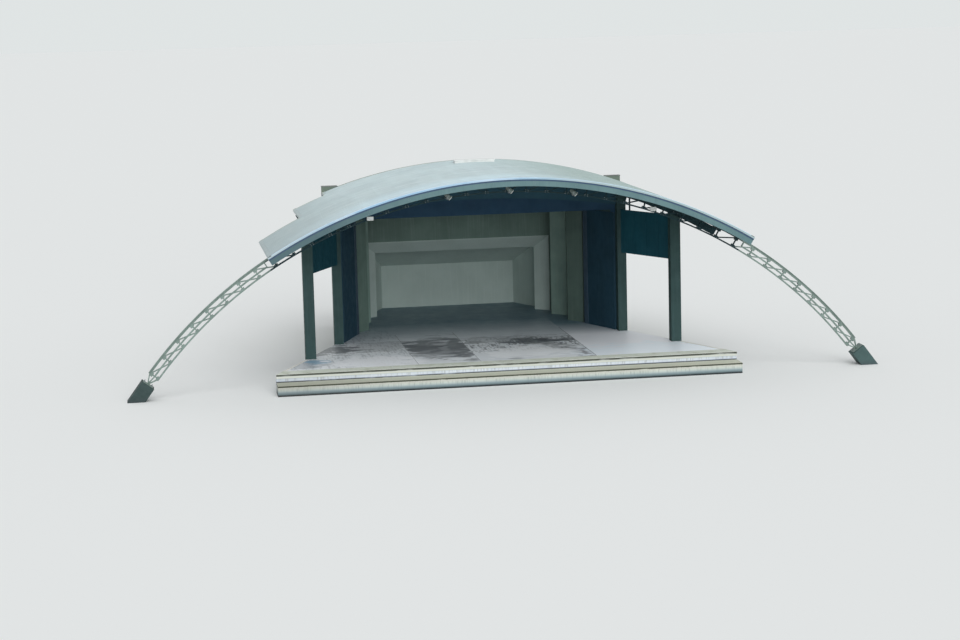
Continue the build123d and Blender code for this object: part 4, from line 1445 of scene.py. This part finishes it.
@dataclass
class House(SubAssembly):
    """Stage house, annex and the scenery in them."""

    solids: ClassVar[Solids] = {
        "house_render": ("house_side_walls", "annex_walls", "rear_gable"),
        "post_paint": ("house_front_wall_left", "house_front_wall_right"),
        "lintel_navy": ("house_lintel",),
        "flat_navy": ("wing_flats",),
        "house_roofing": ("house_roof", "annex_roof"),
        "wall_olive": ("front_wing_panels", "backdrop_left", "backdrop_right", "backdrop_head"),
        "pale_olive": ("back_wing_panels",),
        "portal_grey": ("portal_lining",),
        "recess_grey": ("recess_lining",),
        "back_grey": ("recess_back_wall",)}
    flats: ClassVar[dict[str, tuple[str, Span, Span, float]]] = {
        "wing_flat": ("flat_navy", (7.64, 10.68), (6.54, 13.71), 7.53),
        "front_panel": ("wall_olive", (6.53, 14.06), (5.82, 15.12), 7.95),
        "back_panel": ("wall_olive", (6.17, 17.09), (5.4, 18.0), 7.95)}
    panel_half: float = 0.04
    frame_bar: float = 0.06
    lowest_bar: float = 0.05
    cover: Span = (0.42, 0.02)
    coping: float = 0.04
    coping_out: float = 0.02
    coping_in: float = 0.32
    coping_rear: float = 0.17
    lintel_top: float = 9.43
    lintel_reach: Span = (7.56, 8.43)
    lintel_behind: Span = (12.48, 12.82)

    def build(self) -> None:
        """Builds frames, cover boards and copings."""
        self.flat_frames()
        self.cover_boards()
        self.copings()

    def flat_frames(self) -> None:
        """Builds the timber frames behind flats and panels."""
        bar = self.frame_bar
        near, far = -self.panel_half - bar, -self.panel_half
        for name, (slot, start, end, top) in self.flats.items():
            place, length = LINES.upright(start, end, LINES.stage_height)
            tall = top - LINES.stage_height
            bars = Piece(f"{name}_frames", slot)
            for low in (self.lowest_bar, tall / 3, 2 * tall / 3, tall - bar):
                bars.block((0.0, near, low), (length, far, low + bar), place, bevel=0.003)
            for along in (0.0, length / 2, length - bar):
                bars.block((along, near, 0.0), (along + bar, far, tall), place, bevel=0.003)
            bars.finish(slot, mirrored=True)

    def cover_boards(self) -> None:
        """Nails a cover board on the inner end of each flat."""
        slot, start, end, top = self.flats["wing_flat"]
        place, length = LINES.upright(start, end, LINES.stage_height)
        wide, thick = self.cover
        covers = Piece("wing_flat_cover_boards", slot)
        covers.block((length - wide, self.panel_half, 0.0),
                     (length, self.panel_half + thick, top - LINES.stage_height), place, bevel=0.004)
        covers.finish("fresh_navy", mirrored=True)

    def copings(self) -> None:
        """Folds sheet copings over the tops of the outer walls."""
        copings = Piece("wall_copings", "house_roofing")
        out, inset = self.coping_out, self.coping_in
        runs = []
        for walls, depth, behind in (("annex_walls", inset, 0.0),
                                     ("house_side_walls", self.coping_rear, out)):
            low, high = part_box(walls)
            left, right, back = low.x + inset, high.x - inset, high.y + behind
            runs += [(low.x - out, left, low.y, back, high.z), (right, high.x + out, low.y, back, high.z),
                     (left, right, high.y - depth, back, high.z)]
        inner, outer = self.lintel_reach
        front, back = (LINES.y(behind) for behind in self.lintel_behind)
        runs += [(side * inner, side * (outer + out), front, back, self.lintel_top) for side in SIDES]
        for left, right, near, far, top in runs:
            copings.block((left, near, top), (right, far, top + self.coping), bevel=0.005)
        copings.finish("house_roofing")


@dataclass(frozen=True)
class Lamp:
    """Distant lamp with a wide soft disc. Width in degrees."""

    name: str
    strength: float
    width: float
    way: Point


@dataclass
class Studio:
    """Floor, light and camera round the object. Lengths in metres, turns in radians."""

    floor_half: float = 900.0
    floor_height: float = -0.002
    floor_colour: str = "#EEF0EF"
    lens: float = 83.1
    film: float = 36.0
    sight: float = 3000.0
    place: Point = (-18.434, -121.123, 19.575)
    pan: float = 0.1516
    pitch: float = 0.1445
    roll: float = 0.0257
    sky: Tint = ("#FBFDFF", 0.56)
    backdrop: Tint = ("#F7FCFC", 0.8)
    lamps: tuple[Lamp, ...] = (
        Lamp("soft_front_high", 1.3, 50.0, (-0.08, 0.8, -0.7)),
        Lamp("soft_front_low", 1.2, 34.0, (-0.06, 1.0, -0.18)))

    def floor(self) -> None:
        """Lays the pale floor."""
        mesh = bmesh.new()
        bmesh.ops.create_grid(mesh, x_segments=1, y_segments=1, size=self.floor_half)
        bmesh.ops.translate(mesh, vec=(0.0, 0.0, self.floor_height), verts=mesh.verts)
        data = bpy.data.meshes.new("studio_floor")
        mesh.to_mesh(data)
        mesh.free()
        floor = bpy.data.objects.new("studio_floor", data)
        bpy.context.scene.collection.objects.link(floor)
        shader = Shader("pale_studio_floor")
        surface = shader.add("ShaderNodeBsdfDiffuse", {"Color": linear(self.floor_colour)})
        shader.add("ShaderNodeOutputMaterial", {"Surface": surface})
        data.materials.append(shader.material)

    def light(self) -> None:
        """Sets the sky glow and the soft lamps on the audience's side."""
        world = bpy.data.worlds.new("studio_glow")
        bpy.context.scene.world = world
        nodes = Nodes(world)
        seen: Value = 0.0
        for ray in ("Is Camera Ray", "Is Glossy Ray", "Is Transmission Ray"):
            path = nodes.add("ShaderNodeLightPath", output=ray)
            seen = nodes.add("ShaderNodeMath", {0: seen, 1: path}, operation="MAXIMUM")
        sky, backdrop = (nodes.add("ShaderNodeBackground", {"Color": linear(colour), "Strength": strength})
                         for colour, strength in (self.sky, self.backdrop))
        blend = nodes.add("ShaderNodeMixShader", {0: seen, 1: sky, 2: backdrop})
        nodes.add("ShaderNodeOutputWorld", {"Surface": blend})
        for lamp in self.lamps:
            light = bpy.data.lights.new(lamp.name, "SUN")
            light.energy = lamp.strength
            light.angle = math.radians(lamp.width)
            holder = bpy.data.objects.new(lamp.name, light)
            holder.rotation_euler = Vector(lamp.way).to_track_quat("-Z", "Y").to_euler()
            bpy.context.scene.collection.objects.link(holder)

    def camera(self) -> None:
        """Places the camera at the photographed viewing angle."""
        lens = bpy.data.cameras.new("viewpoint")
        lens.lens = self.lens
        lens.sensor_width = self.film
        lens.clip_end = self.sight
        holder = bpy.data.objects.new("viewpoint", lens)
        turn = Matrix.Rotation(-self.pan, 4, "Z") @ Matrix.Rotation(math.pi / 2 - self.pitch, 4, "X")
        turn = turn @ Matrix.Rotation(-self.roll, 4, "Z")
        holder.matrix_world = Matrix.Translation(self.place) @ turn
        bpy.context.scene.collection.objects.link(holder)
        bpy.context.scene.camera = holder


def main() -> None:
    """Builds and dresses everything in order."""
    logging.basicConfig(level=logging.INFO, format="%(message)s")
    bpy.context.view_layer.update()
    studio = Studio()
    studio.camera()
    studio.floor()
    studio.light()
    bpy.context.scene.view_settings.view_transform = "Standard"
    for group in (Steps(), Posts(), Roof(), Arch(), StageLights(), House()):
        group.dress()
        group.build()
        log.info("finished %s", type(group).__name__)


if __name__ == "__main__":
    main()
